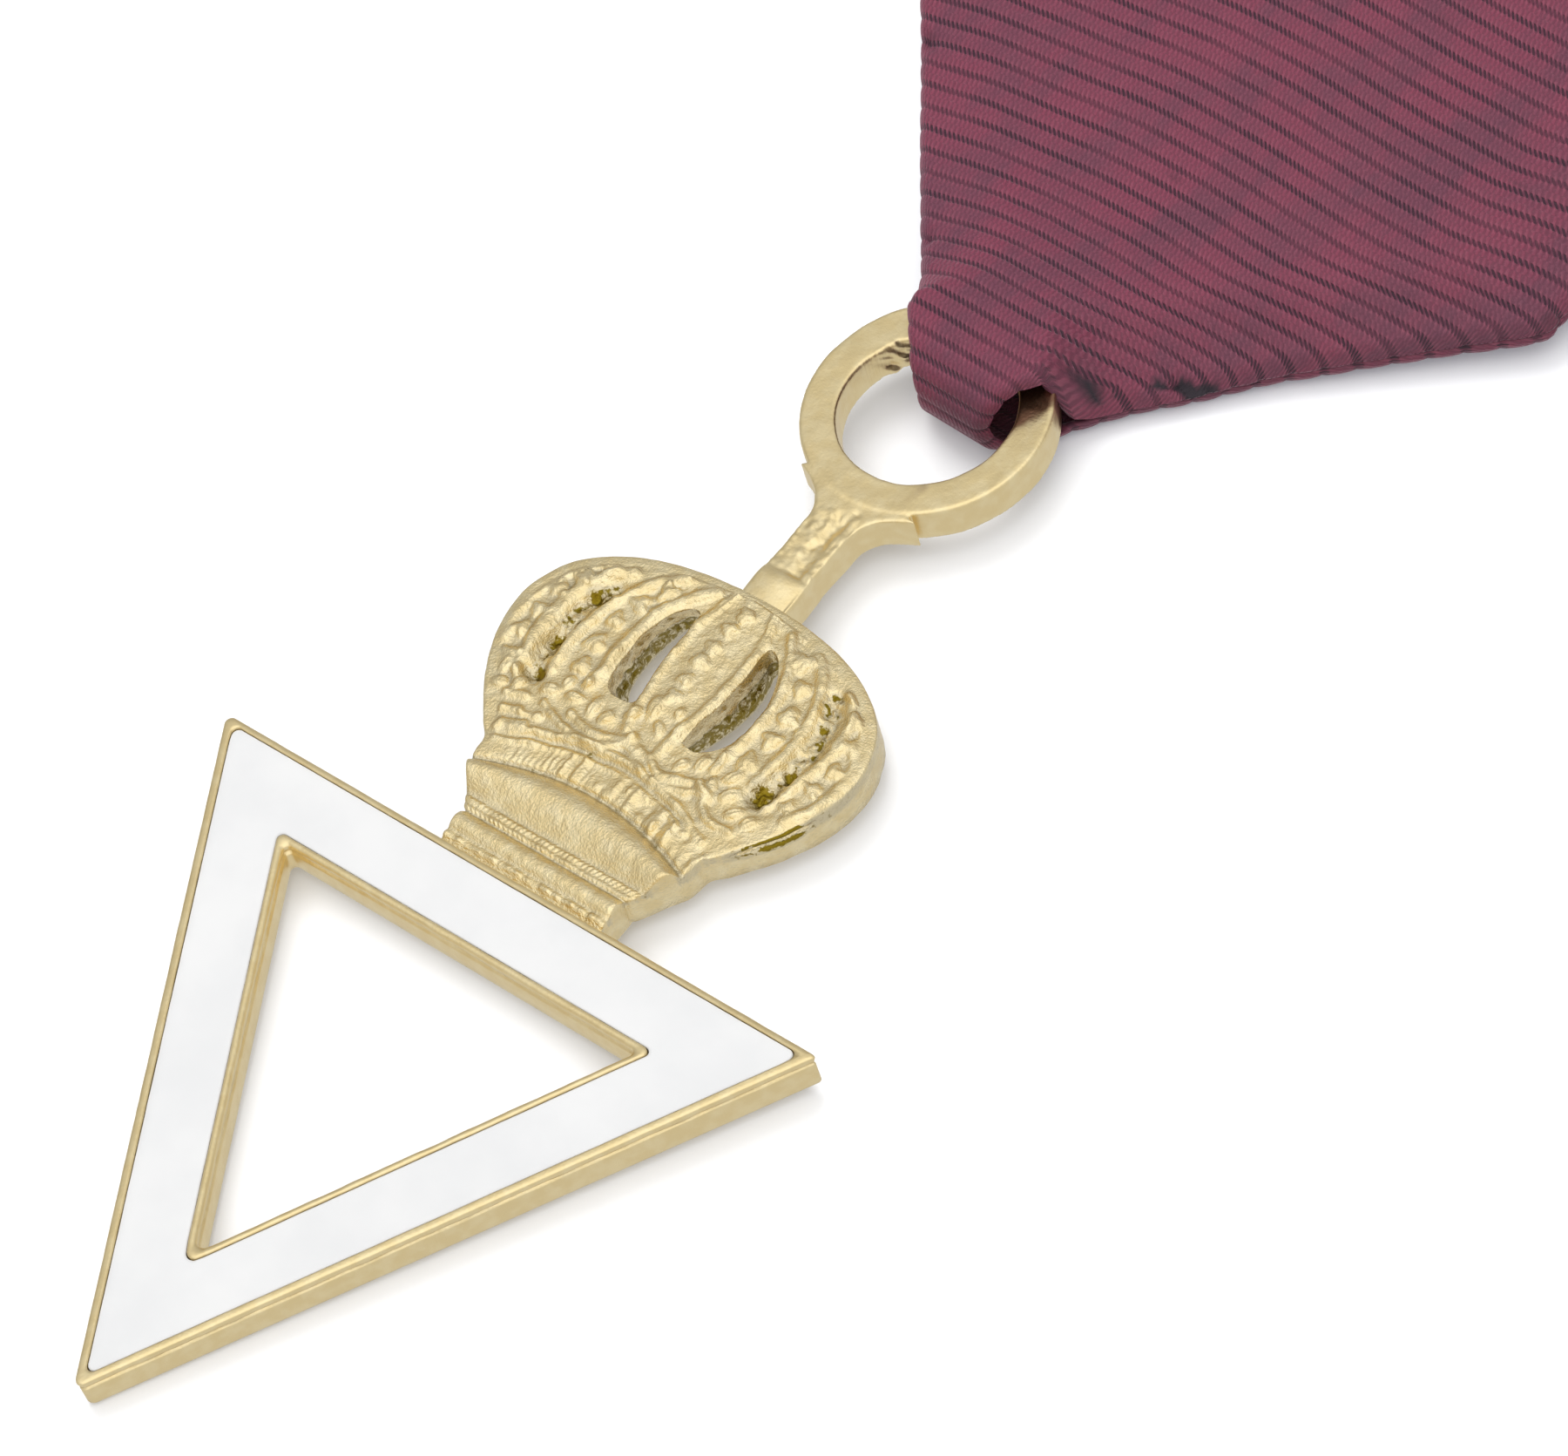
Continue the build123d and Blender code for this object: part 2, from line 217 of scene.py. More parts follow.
lamp("window", (-0.22, 0.14, 0.44), 0.36, 1.4)
lamp("ceiling", (0, 0, 1.0), 1.6, 5.6)
lamp("bounce", (0.30, -0.34, 0.34), 0.30, 0.2)

BRIGHT_SIDE = (0.40, -0.30, 0.866)
TABLE_GREY = (0.70, 0.70, 0.70, 1)
TENT_STEPS = [
    (0.0, 0.36), (0.35, 0.45), (0.53, 0.54), (0.61, 0.61), (0.697, 0.695), (0.77, 0.77), (0.84, 0.96), (0.90, 1.20),
    (1.0, 1.30),
]


def tent():
    made = bpy.data.worlds.new("tent")
    made.use_nodes = True
    start = Wire(made.node_tree)
    way = start.node("TexCoord", {}, {}, out="Generated")
    above = start.node("SeparateXYZ", {}, {0: way}, out=2)
    slope = start.node("VectorMath", {"operation": "DOT_PRODUCT"}, {0: way, 1: BRIGHT_SIDE}, out="Value")
    cloth = start.node("ValToRGB", {}, {0: slope * 0.5 + 0.5})
    steps = cloth.socket.node.color_ramp.elements
    while len(steps) < len(TENT_STEPS):
        steps.new(0.5)
    for step, (position, grey) in zip(steps, TENT_STEPS):
        step.position = position
        step.color = (grey, grey, grey, 1)
    shade = mix_colour(above.step(-0.06, 0.02), TABLE_GREY, cloth)
    join_to(made.node_tree.nodes["Background"], "Color", shade)
    return made


scene.world = tent()

# %% [markdown]
# The table is a large white sheet of card. Its faint tooth keeps it from being one flat value. It also glows
# faintly blue, a painted light that lifts and cools its shadows.

# %% White table
TABLE_HALF = 0.9
TABLE_TOP = -0.00002


def glowing_white_card():
    # The emission is a painted glow: it lifts the card's shadows and gives them a cool tint.
    made, shader, start = new_finish(
        "glowing_white_card",
        {"Roughness": 0.9, "Specular IOR Level": 0.2, "Emission Color": (0.70, 0.78, 1, 1), "Emission Strength": 0.10},
    )
    place = start.node("TexCoord", {}, {}, out="Object")
    tooth = cast_noise(start, place, 900.0)
    join_to(shader, "Base Color", mix_colour(tooth, (0.720, 0.720, 0.720, 1), (0.735, 0.735, 0.735, 1)))
    return made


card = bpy.data.meshes.new("table")
corners = [(TABLE_HALF * x, TABLE_HALF * y, 0) for x, y in ((-1, -1), (1, -1), (1, 1), (-1, 1))]
card.from_pydata(corners, [], [(0, 1, 2, 3)])
table = put("table", card)
table.location.z = TABLE_TOP
card.materials.append(glowing_white_card())
table.visible_glossy = False
print("table is", table.dimensions.x, "m wide")

# %% [markdown]
# The gilt has several states on this jewel. The relief is as it came from the mould, with a fine sandy grain and a
# darker tone in the hollows, which on the walls of its openings and in the groove under its right edge is a painted
# shade. The triangle's walls, the stem and the ring were filed and brushed, so they carry long faint scratches, and
# the ring is painted brown where it goes in under the cloth, a painted shade with a painted reflection of the cloth.
# The bar at the top is plain satin. One function makes them all, with the grain, the scratches, the tones of the
# hollows and the painted shade of the covered part as its choices.

# %% Gilt
PALE_GOLD = (0.86, 0.695, 0.375, 1)
# The next two colours darken the hollows; on the openings' walls and in the groove under the crown's right edge they
# are a painted shade.
DEEP_GOLD = (0.72, 0.62, 0.40, 1)
DARK_BRASS_AND_SHADE = (0.25, 0.175, 0.014, 1)
WORN_GOLD = (0.93, 0.79, 0.48, 1)
# The next colour is a painted shade with a painted reflection of the maroon cloth, for the ring under the ribbon.
BROWN_SHADE = (0.20, 0.08, 0.05, 1)


def gilt(name, grain, scratch, smooth, worn, hollows=False, painted_cloth_shade=False):
    made, shader, start = new_finish(name, {"Metallic": 1.0})
    place = start.node("TexCoord", {}, {}, out="Object")
    coarse = cast_noise(start, place, 1500.0, 3.0)
    fine = cast_noise(start, place, 9000.0, 3.0, 0.6)
    grit = cast_noise(start, place, 4200.0, 3.0, 0.65)
    stretched = start.node("Mapping", {}, {"Vector": place, "Scale": (7000.0, 7000.0, 500.0)})
    lines = cast_noise(start, stretched, 1.0)
    tone = mix_colour(coarse.step(0.35, 0.7, 0.0, worn), PALE_GOLD, WORN_GOLD)
    # The hollow mark darkens the low places, and on the crown's openings and edge groove it is a painted shade.
    if hollows:
        depth = start.node("Attribute", {"attribute_name": "hollow"}, {}, out="Fac")
        tone = mix_colour((depth + (fine - 0.5) * 0.4).step(0.12, 0.75), tone, DEEP_GOLD)
        tone = mix_colour((depth + (grit - 0.5) * 3.4).step(0.95, 1.6), tone, DARK_BRASS_AND_SHADE)
    # A painted shade with a painted reflection of the cloth, on the ring where it goes in under the ribbon.
    if painted_cloth_shade:
        shade = start.node("Attribute", {"attribute_name": "painted_cloth_shade"}, {}, out="Fac")
        tone = mix_colour(shade, tone, BROWN_SHADE)
    join_to(shader, "Base Color", tone)
    join_to(shader, "Roughness", (fine - 0.5) * 0.25 + (coarse - 0.5) * 0.12 + smooth)
    height = fine * grain + lines * scratch
    bump = start.node("Bump", {}, {"Strength": 0.6, "Distance": 0.00004, "Height": height})
    join_to(shader, "Normal", bump)
    return made


gilt_relief = gilt("gilt_relief", 2.3, 0.0, 0.22, 1.0, hollows=True)
gilt_filed = gilt("gilt_filed", 0.25, 0.55, 0.36, 0.7)
# The filed gilt again, carrying the painted shade of the cloth on the ring.
gilt_filed_painted_shade = gilt("gilt_filed_painted_shade", 0.25, 0.55, 0.36, 0.7, painted_cloth_shade=True)
gilt_satin = gilt("gilt_satin", 0.2, 0.35, 0.38, 0.2)
print("gilt finishes:", gilt_relief.name, gilt_filed.name, gilt_filed_painted_shade.name, gilt_satin.name)

# %% [markdown]
# The enamel is glass fused into the tray: white through, glossy, with a slight cloudiness where the powder
# melted unevenly.

# %% Enamel finish
def white_glass():
    made, shader, start = new_finish("white_glass", {"IOR": 1.5})
    place = start.node("TexCoord", {}, {}, out="Object")
    cloud = cast_noise(start, place, 230.0, 4.0, 0.55)
    speck = cast_noise(start, place, 5200.0)
    tone = mix_colour(cloud.step(0.3, 0.7), (0.50, 0.502, 0.505, 1), (0.53, 0.53, 0.53, 1))
    join_to(shader, "Base Color", tone)
    join_to(shader, "Roughness", (cloud - 0.5) * 0.12 + speck * 0.06 + 0.2)
    bump = start.node("Bump", {}, {"Strength": 0.25, "Distance": 0.00003, "Height": cloud + speck * 0.1})
    join_to(shader, "Normal", bump)
    return made


enamel_finish = white_glass()
print("enamel:", enamel_finish.name)

# %% [markdown]
# The ribbon is a corded silk. Thick cords lie across it, close together, and fine threads run up it over them,
# so each cord is a rib covered in threads, and between two ribs the threads dive down as a row of small dark
# slanting stitches. Patches where the cords were pressed catch the light differently, which is the watered look.
# The mesh carries two numbers for this, called cloth: how far across a point is, in millimetres, and how many
# ribs along it is.

# %% Ribbon finish
THREAD = 0.23
STITCH_SLANT = 3.6
# The next colour is the painted shade in the gaps between the ribs.
RIB_GAP_SHADE = (0.048, 0.017, 0.030, 1)
STITCH_DARK = (0.020, 0.008, 0.015, 1)
# The next colour is the painted shade in the deep crumples.
CREASE_PAINTED_SHADE = (0.014, 0.009, 0.014, 1)


def cloth_noise(across, along, detail=2.0, rough=0.5):
    """Noise over the cloth, stretched by what its two places are multiplied with."""
    place = across.node("CombineXYZ", {}, {0: across, 1: along})
    return cast_noise(across, place, 1.0, detail, rough)


def corded_silk():
    made, shader, start = new_finish(
        "corded_silk",
        {"Sheen Weight": 0.24, "Sheen Roughness": 0.35, "Sheen Tint": (1.0, 0.62, 0.74, 1), "Specular IOR Level": 0.35},
    )
    cloth = start.node("Attribute", {"attribute_name": "cloth"}, {}, out="Vector")
    across = start.node("SeparateXYZ", {}, {0: cloth}, out=0)
    along = start.node("SeparateXYZ", {}, {0: cloth}, out=1)
    painted_crease_shade = start.node("Attribute", {"attribute_name": "painted_crease_shade"}, {}, out="Fac")
    patch = cloth_noise(across * 0.36, along * 0.15, 3.0, 0.6)
    streak = cloth_noise(across * 2.2, along * 0.05, 3.0)
    fuzz = cloth_noise(across * 9.0, along * 5.0)

    # The line between two ribs wanders a little, and each line has a strength of its own.
    wander = cloth_noise(across * 0.55, along * 0.9)
    line = along + 0.5 + (fuzz - 0.5) * 0.04 + (wander - 0.5) * 0.09
    own = cloth_noise(across * 0.22, line.math("FLOOR") * 3.7, 3.0, 0.6)
    off = line.math("FRACT") - 0.5
    depth = off.math("ABSOLUTE")
    slant = (across / THREAD - off * STITCH_SLANT + (fuzz - 0.5) * 0.3).wave()
    stitch = slant.step(0.38, 0.64) * depth.step(0.12, 0.18, 1.0, 0.0) * own.step(0.34, 0.58, 0.50, 1.0)
    groove = depth.step(0.02, 0.14, 1.0, 0.0)
    thread = (across / THREAD - off * 1.5 + (fuzz - 0.5) * 0.8).wave()

    rib = mix_colour(patch.step(0.40, 0.64), (0.145, 0.0245, 0.049, 1), (0.094, 0.026, 0.046, 1))
    rib = mix_colour(streak.step(0.3, 0.7, 0.0, 0.35), rib, (0.152, 0.031, 0.055, 1))
    rib = mix_colour(fuzz.step(0.45, 0.8, 0.0, 0.45), rib, (0.172, 0.052, 0.077, 1))
    rib = mix_colour(thread.step(0.1, 0.9, 0.42, 0.0), rib, (0.055, 0.013, 0.026, 1))
    # A painted highlight on the thread ends beside each gap between the ribs.
    ends = thread.step(0.45, 0.85) * depth.step(0.16, 0.36, 1.0, 0.0) * (1.25 - own)
    rib = mix_colour(ends * 0.55, rib, (0.200, 0.050, 0.078, 1))
    # Painted shade in the gap between two ribs.
    tone = mix_colour(groove * own.step(0.30, 0.65, 0.20, 0.38), rib, RIB_GAP_SHADE)
    tone = mix_colour(stitch * 0.92, tone, STITCH_DARK)
    # Painted shade in the crumples and on the inner face.
    tone = mix_colour(painted_crease_shade, tone, CREASE_PAINTED_SHADE)
    join_to(shader, "Base Color", tone)
    join_to(shader, "Roughness", groove * 0.15 + (patch - 0.5) * 0.3 + 0.58)
    height = thread * 0.55 - stitch * 1.1 + fuzz * 0.5
    bump = start.node("Bump", {}, {"Strength": 0.7, "Distance": 0.00005, "Height": height})
    join_to(shader, "Normal", bump)
    return made


silk = corded_silk()
print("ribbon:", silk.name)

# %% [markdown]
# Most pieces start as a grid of points that is worked out with numpy and handed to Blender as a mesh. These
# helpers smooth a drawn line, add the unevenness of hand work from one fixed table of random numbers, join the
# points with faces, and make the object. Two more read a mesh's points back and write a number on each of them,
# which a material can ask for.

# %% Lines, unevenness and new pieces
def smooth_line(points, count):
    """A soft curve through the points (Catmull-Rom), as count points with equal gaps."""
    p = np.asarray(points, float)
    p = np.vstack([2 * p[0] - p[1], p, 2 * p[-1] - p[-2]])
    t = np.linspace(0, 1, 24, endpoint=False)[:, None]
    runs = []
    for a, b, c, d in zip(p[:-3], p[1:-2], p[2:-1], p[3:]):
        runs.append(0.5 * (2 * b + (c - a) * t + (2 * a - 5 * b + 4 * c - d) * t**2 + (3 * b - a - 3 * c + d) * t**3))
    line = np.vstack([*runs, p[-2:-1]])
    length = np.concatenate([[0], np.cumsum(np.linalg.norm(np.diff(line, axis=0), axis=1))])
    even = np.linspace(0, length[-1], count)
    return np.stack([np.interp(even, length, line[:, k]) for k in range(line.shape[1])], axis=1)


UNEVEN = np.random.default_rng(11).uniform(-1, 1, (256, 256))


def uneven(x, y, size, layer=0):
    """Smooth random unevenness from -1 to 1, with bumps about size apart."""
    gx = np.asarray(x, float) / size + 31.7 * layer
    gy = np.asarray(y, float) / size + 12.3 * layer
    ix, iy = np.floor(gx).astype(int), np.floor(gy).astype(int)
    fx, fy = gx - ix, gy - iy
    fx, fy = fx * fx * (3 - 2 * fx), fy * fy * (3 - 2 * fy)
    low = UNEVEN[ix % 256, iy % 256] * (1 - fx) + UNEVEN[(ix + 1) % 256, iy % 256] * fx
    high = UNEVEN[ix % 256, (iy + 1) % 256] * (1 - fx) + UNEVEN[(ix + 1) % 256, (iy + 1) % 256] * fx
    return low * (1 - fy) + high * fy


def soft(x, low, high):
    """0 below low, 1 above high, smooth between."""
    t = np.clip((np.asarray(x, float) - low) / (high - low), 0, 1)
    return t * t * (3 - 2 * t)


def dome(t):
    """1 at 0, falling to 0 at -1 and at 1, as a low round back."""
    return np.clip(1 - t**2, 0, 1)


def outward_mesh(name, points, faces):
    """A mesh whose faces all look outward."""
    mesh = bpy.data.meshes.new(name)
    mesh.from_pydata(points.tolist(), [], faces)
    work = bmesh.new()
    work.from_mesh(mesh)
    bmesh.ops.recalc_face_normals(work, faces=work.faces)
    work.to_mesh(mesh)
    work.free()
    return mesh


def make_piece(name, points, faces, plane, finish):
    """A smooth-shaded mesh object from points in a plane's millimetres."""
    mesh = outward_mesh(name, in_row(points, plane), faces)
    mesh.shade_smooth()
    mesh.materials.append(finish)
    return put(name, mesh)


def grid_faces(rows, columns, start=0, close_rows=False, close_columns=False):
    """Four-sided faces of a grid whose points are numbered row by row."""
    i = np.arange(rows if close_rows else rows - 1)
    j = np.arange(columns if close_columns else columns - 1)
    i, j = np.meshgrid(i, j, indexing="ij")
    next_i, next_j = (i + 1) % rows, (j + 1) % columns
    quads = np.stack([i * columns + j, i * columns + next_j, next_i * columns + next_j, next_i * columns + j], axis=-1)
    return (quads.reshape(-1, 4) + start).tolist()


def grid_rim(rows, columns):
    """The numbers of the points round the edge of a grid."""
    index = np.arange(rows * columns).reshape(rows, columns)
    return np.concatenate([index[0, :-1], index[:-1, -1], index[-1, :0:-1], index[:0:-1, 0]])


def band_faces(upper, lower):
    """Four-sided faces between two closed loops of point numbers."""
    return np.stack([upper, np.roll(upper, -1), np.roll(lower, -1), lower], axis=1).tolist()


def worked_out(made):
    """An object's mesh after its modifiers."""
    bpy.context.view_layer.update()
    return bpy.data.meshes.new_from_object(made.evaluated_get(bpy.context.evaluated_depsgraph_get()))


def read_points(mesh, what="co"):
    """The points' places, or with what="normal" the ways that they face."""
    values = np.empty(len(mesh.vertices) * 3)
    mesh.vertices.foreach_get(what, values)
    return values.reshape(-1, 3)


def write_mark(mesh, name, values, kind="FLOAT", field="value"):
    """Writes a number, or a vector, on each point of a mesh."""
    mark = mesh.attributes.new(name, kind, "POINT")
    mark.data.foreach_set(field, values.astype(np.float32).ravel())


def count_triangles(made):
    return sum(len(p.vertices) - 2 for p in made.data.polygons)


print("a smooth line of three points:", smooth_line([(0, 0), (1, 1), (2, 0)], 5).round(2).tolist())

# %% [markdown]
# The triangle is a plate with a tray. On the real one the outer wall ends in a thin rounded rim, a fine groove
# runs below it, and the open middle has a raised lip of the same kind. A profile that is carried round a
# triangle with rounded corners gives all of it in one closed mesh, and a little unevenness along the way keeps
# the lines from looking machined.

# %% The triangle's outline
HEIGHT = 25.98
TRIANGLE_MIDDLE = np.array([0.0, -HEIGHT / 3])
SIDE_POINTS = 150
CORNER_POINTS = 12
OUTER_ROUND = 0.28
RIM_ROUND = 0.27
TRAY_ROUND = 0.26
HOLE_ROUND = 0.24


def triangle_loop(inset, radius):
    """Points round the triangle, inset from its outer edge, with corners of that radius.

    The outer wall's right corner is sharper than the other two, as on the real one.
    """
    inner = HEIGHT / 3 - inset
    loop = []
    sharp = 0.4 * radius if inset < 0.3 else radius
    for turn, last_radius, this_radius in ((90, radius, sharp), (-30, sharp, radius), (-150, radius, radius)):
        normal = math.radians(turn)
        from_last, to_this = normal + math.pi / 3, normal - math.pi / 3
        last = TRIANGLE_MIDDLE + 2 * (inner - last_radius) * np.array([math.cos(from_last), math.sin(from_last)])
        this = TRIANGLE_MIDDLE + 2 * (inner - this_radius) * np.array([math.cos(to_this), math.sin(to_this)])
        out = np.array([math.cos(normal), math.sin(normal)])
        share = np.linspace(0, 1, SIDE_POINTS, endpoint=False)[:, None]
        loop.append((last + last_radius * out) * (1 - share) + (this + this_radius * out) * share)
        bend = normal - np.linspace(0, 2 * math.pi / 3, CORNER_POINTS, endpoint=False)
        loop.append(this + this_radius * np.stack([np.cos(bend), np.sin(bend)], axis=1))
    return np.vstack(loop)


# The open middle sits a little high in the plate, and its right side runs out a little towards the point. The top
# rim is narrower than the other two, and the plate's back isn't quite level.
HOLE_SHIFT = np.array([0.0, 0.05])
HOLE_SKEW = 0.011
TOP_RIM_SHIFT = 0.08
BACK_TILT = (0.006, 0.0046)


def swept_piece(name, profile, wobble, finish):
    """Carries a profile round the triangle: (inset, height, unevenness), grouped by the radius of the corners."""
    steps = [(radius, *step) for radius, group in profile for step in group]
    rows = []
    for k, (radius, inset, height, rough) in enumerate(steps):
        at_hole = float(soft(inset, 2.0, 3.1))
        at_rim = float(soft(inset, 0.15, 0.30) * (1 - soft(inset, 0.5, 1.5)))
        at_back = float(1 - soft(height, 0.0, 1.1))
        loop = triangle_loop(inset, radius) + HOLE_SHIFT * at_hole * float(0.2 + 0.8 * soft(height, 0.3, 1.5))
        x, y = loop.T
        x += HOLE_SKEW * np.clip(-3.5 - y, 0, 20) * soft(x, -0.5, 0.5) * at_hole
        y += TOP_RIM_SHIFT * soft(y, -1.0, -0.5) * at_rim
        away = (loop - TRIANGLE_MIDDLE) / np.linalg.norm(loop - TRIANGLE_MIDDLE, axis=1)[:, None]
        shift = rough * wobble * (uneven(x, y, 0.9, k // 4) + 0.5 * uneven(x, y, 0.3, 9))
        drop = rough * wobble * 0.6 * uneven(y, x, 0.7, 3 + k // 4)
        tipped = -(BACK_TILT[1] * y + BACK_TILT[0] * x) * at_back
        rows.append(np.column_stack([loop + away * shift[:, None], height + drop + tipped]))
    faces = grid_faces(len(rows), len(rows[0]), close_rows=True, close_columns=True)
    return make_piece(name, np.vstack(rows), faces, JEWEL, finish)


# From the back's edge up the outer wall, over the rim, through the tray, over the lip and down to the back again.
TRIANGLE_PROFILE = [
    (OUTER_ROUND, [
        (0.10, 0.00, 0.0), (0.02, 0.04, 0.1), (0.00, 0.12, 0.2), (0.00, 0.45, 0.2), (0.00, 0.80, 0.2),
        (0.00, 1.14, 0.3), (0.02, 1.22, 0.8), (0.10, 1.26, 1.0), (0.10, 1.31, 1.0), (0.02, 1.36, 0.9),
        (0.00, 1.44, 0.4), (-0.02, 1.56, 0.3), (-0.01, 1.655, 0.3),
    ]),
    (RIM_ROUND, [(0.03, 1.70, 0.3)]),
    (TRAY_ROUND, [
        (0.12, 1.72, 0.4), (0.24, 1.735, 0.3), (0.29, 1.725, 0.3), (0.315, 1.68, 0.3), (0.32, 1.56, 0.2),
        (0.33, 1.13, 0.0),
    ]),
    (HOLE_ROUND, [
        (3.15, 1.13, 0.0), (3.15, 1.60, 0.2), (3.16, 1.68, 0.3), (3.20, 1.715, 0.3), (3.25, 1.73, 0.4),
        (3.34, 1.715, 0.6), (3.42, 1.65, 0.6), (3.455, 1.53, 0.6), (3.44, 1.42, 0.9), (3.32, 1.34, 1.1),
        (3.27, 1.25, 1.1), (3.32, 1.16, 1.1), (3.43, 1.10, 0.8), (3.44, 1.00, 0.3), (3.44, 0.55, 0.2),
        (3.44, 0.14, 0.2), (3.41, 0.04, 0.1), (3.30, 0.00, 0.0),
    ]),
]
triangle_frame = swept_piece("triangle_frame", TRIANGLE_PROFILE, 0.03, gilt_filed)
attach(triangle_frame, "root")
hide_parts("jewel_casting")
print("triangle_frame:", count_triangles(triangle_frame), "triangles")

# %% [markdown]
# The enamel fills the tray almost to the rim. Glass that melts in a tray climbs a little at its walls and sinks
# a little in the middle, and that soft dip is what the light shows along the rims.

# %% Enamel
ENAMEL_ROUGH = 0.35
ENAMEL_OUTER = [
    (0.36, 1.14), (0.347, 1.40), (0.346, 1.60), (0.355, 1.64), (0.39, 1.652), (0.70, 1.635), (1.10, 1.628),
    (1.70, 1.625), (2.30, 1.628), (2.72, 1.635),
]
ENAMEL_INNER = [(3.04, 1.652), (3.11, 1.64), (3.122, 1.60), (3.115, 1.14)]
enamel_profile = [
    (radius, [(inset, height, ENAMEL_ROUGH) for inset, height in steps])
    for radius, steps in ((TRAY_ROUND, ENAMEL_OUTER), (HOLE_ROUND, ENAMEL_INNER))
]
enamel = swept_piece("enamel_inlay", enamel_profile, 0.02, enamel_finish)
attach(enamel, "root")
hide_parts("enamel")
print("enamel_inlay:", count_triangles(enamel), "triangles")

# %% [markdown]
# The crown is cast from a chased pattern: bands at its foot, a row of teeth under an arched line, swags, leaves,
# and five straps set with pearls that meet under the stem. Low relief like this is easiest to think of as one
# height over every point of the face. The face is a fine grid, and each chased line, pearl and leaf adds its own
# height to it, as a punch or a graver would.

# %% The crown's outline and grid
AXIS_X = 0.24
CROWN_X = 0.205
CROWN_ROWS = 290
CROWN_COLUMNS = 270
CROWN_OUTLINE = [
    (-0.18, 4.00), (1.30, 4.00), (1.55, 3.96), (1.75, 4.17), (2.60, 4.67), (3.45, 5.22), (3.95, 5.37), (4.55, 5.46),
    (5.20, 6.06), (6.90, 7.37), (8.70, 8.25), (10.60, 8.50), (12.10, 8.06), (13.10, 7.35), (14.05, 5.98),
    (14.70, 4.32), (15.05, 2.55), (15.20, 1.00),
]
crown_side = smooth_line(CROWN_OUTLINE, CROWN_ROWS) + [0.0, 0.08]
crown_share = np.linspace(-1, 1, CROWN_COLUMNS)
crown_y = np.repeat(crown_side[:, :1], CROWN_COLUMNS, axis=1)
crown_x = CROWN_X + crown_share[None, :] * crown_side[:, 1:2]
print("crown grid:", crown_x.shape, "widest", round(2 * crown_side[:, 1].max(), 2), "mm")

# %% [markdown]
# Each tool is a function that takes the points of the face and gives the height that it adds to each of them. The
# pearls draw from one fixed row of random numbers, one after the other, so they always come out the same.

# %% Tools of the chaser
def from_line(x, y, points):
    """How far each point of the face is from a soft line, and how far along the line it is nearest."""
    line = smooth_line(points, 6 * len(points))
    best = np.full(x.shape, np.inf)
    along = np.zeros(x.shape)
    walked = 0.0
    for a, b in zip(line[:-1], line[1:]):
        run = b - a
        length = np.linalg.norm(run)
        share = np.clip(((x - a[0]) * run[0] + (y - a[1]) * run[1]) / length**2, 0, 1)
        away = np.hypot(x - a[0] - share * run[0], y - a[1] - share * run[1])
        nearer = away < best
        best = np.where(nearer, away, best)
        along = np.where(nearer, walked + share * length, along)
        walked += length
    return best, along


def ridge(x, y, points, width, height):
    """A raised line with a soft foot, a little uneven along its way."""
    away, along = from_line(x, y, points)
    return height * np.exp(-((away / width) ** 3) * 1.2) * (1 + 0.30 * uneven(along, along, 0.6, 5))


CHASER = np.random.default_rng(5)


def pearl(x, y, centre, radius, height):
    """A low round boss, a little out of round."""
    turn = np.arctan2(y - centre[1], x - centre[0])
    lobes = 0.86 + 0.15 * np.sin(3 * turn + CHASER.uniform(0, 6)) + 0.09 * np.sin(5 * turn + CHASER.uniform(0, 6))
    away = np.hypot(x - centre[0], y - centre[1]) / (radius * lobes)
    return height * dome(away) ** 0.6


def pearl_row(x, y, points, count, radius, height):
    """Pearls along a line. No two are quite alike, as each was punched by hand."""
    row = []
    for place in smooth_line(points, count):
        shift, size, rise = CHASER.uniform(-0.06, 0.06, 2), CHASER.uniform(0.88, 1.12), CHASER.uniform(0.75, 1.2)
        row.append(pearl(x, y, place + shift, radius * size, height * rise))
    return np.maximum.reduce(row)


def leaf(x, y, centre, turn, length, width, height):
    """A small raised leaf with a faint vein down its middle."""
    a = math.radians(turn)
    along = (x - centre[0]) * math.cos(a) + (y - centre[1]) * math.sin(a)
    across = -(x - centre[0]) * math.sin(a) + (y - centre[1]) * math.cos(a)
    inside = np.clip(1 - (along / length) ** 2 - (across / width) ** 2, 0, 1) ** 0.8
    return height * inside * (1 - 0.30 * np.exp(-((across / (0.3 * width)) ** 2)))


print("chasing tools: ridge, pearl, pearl_row, leaf")

# %% [markdown]
# The upper part is a low vault. Its middle panel stands out, straps with raised edges rise on both sides of it, rows
# of pearls lie between the edges, and a scratched hollow with a few pits lies beside each outer strap. The lines
# below were drawn after the photo, in millimetres from the crown's foot.

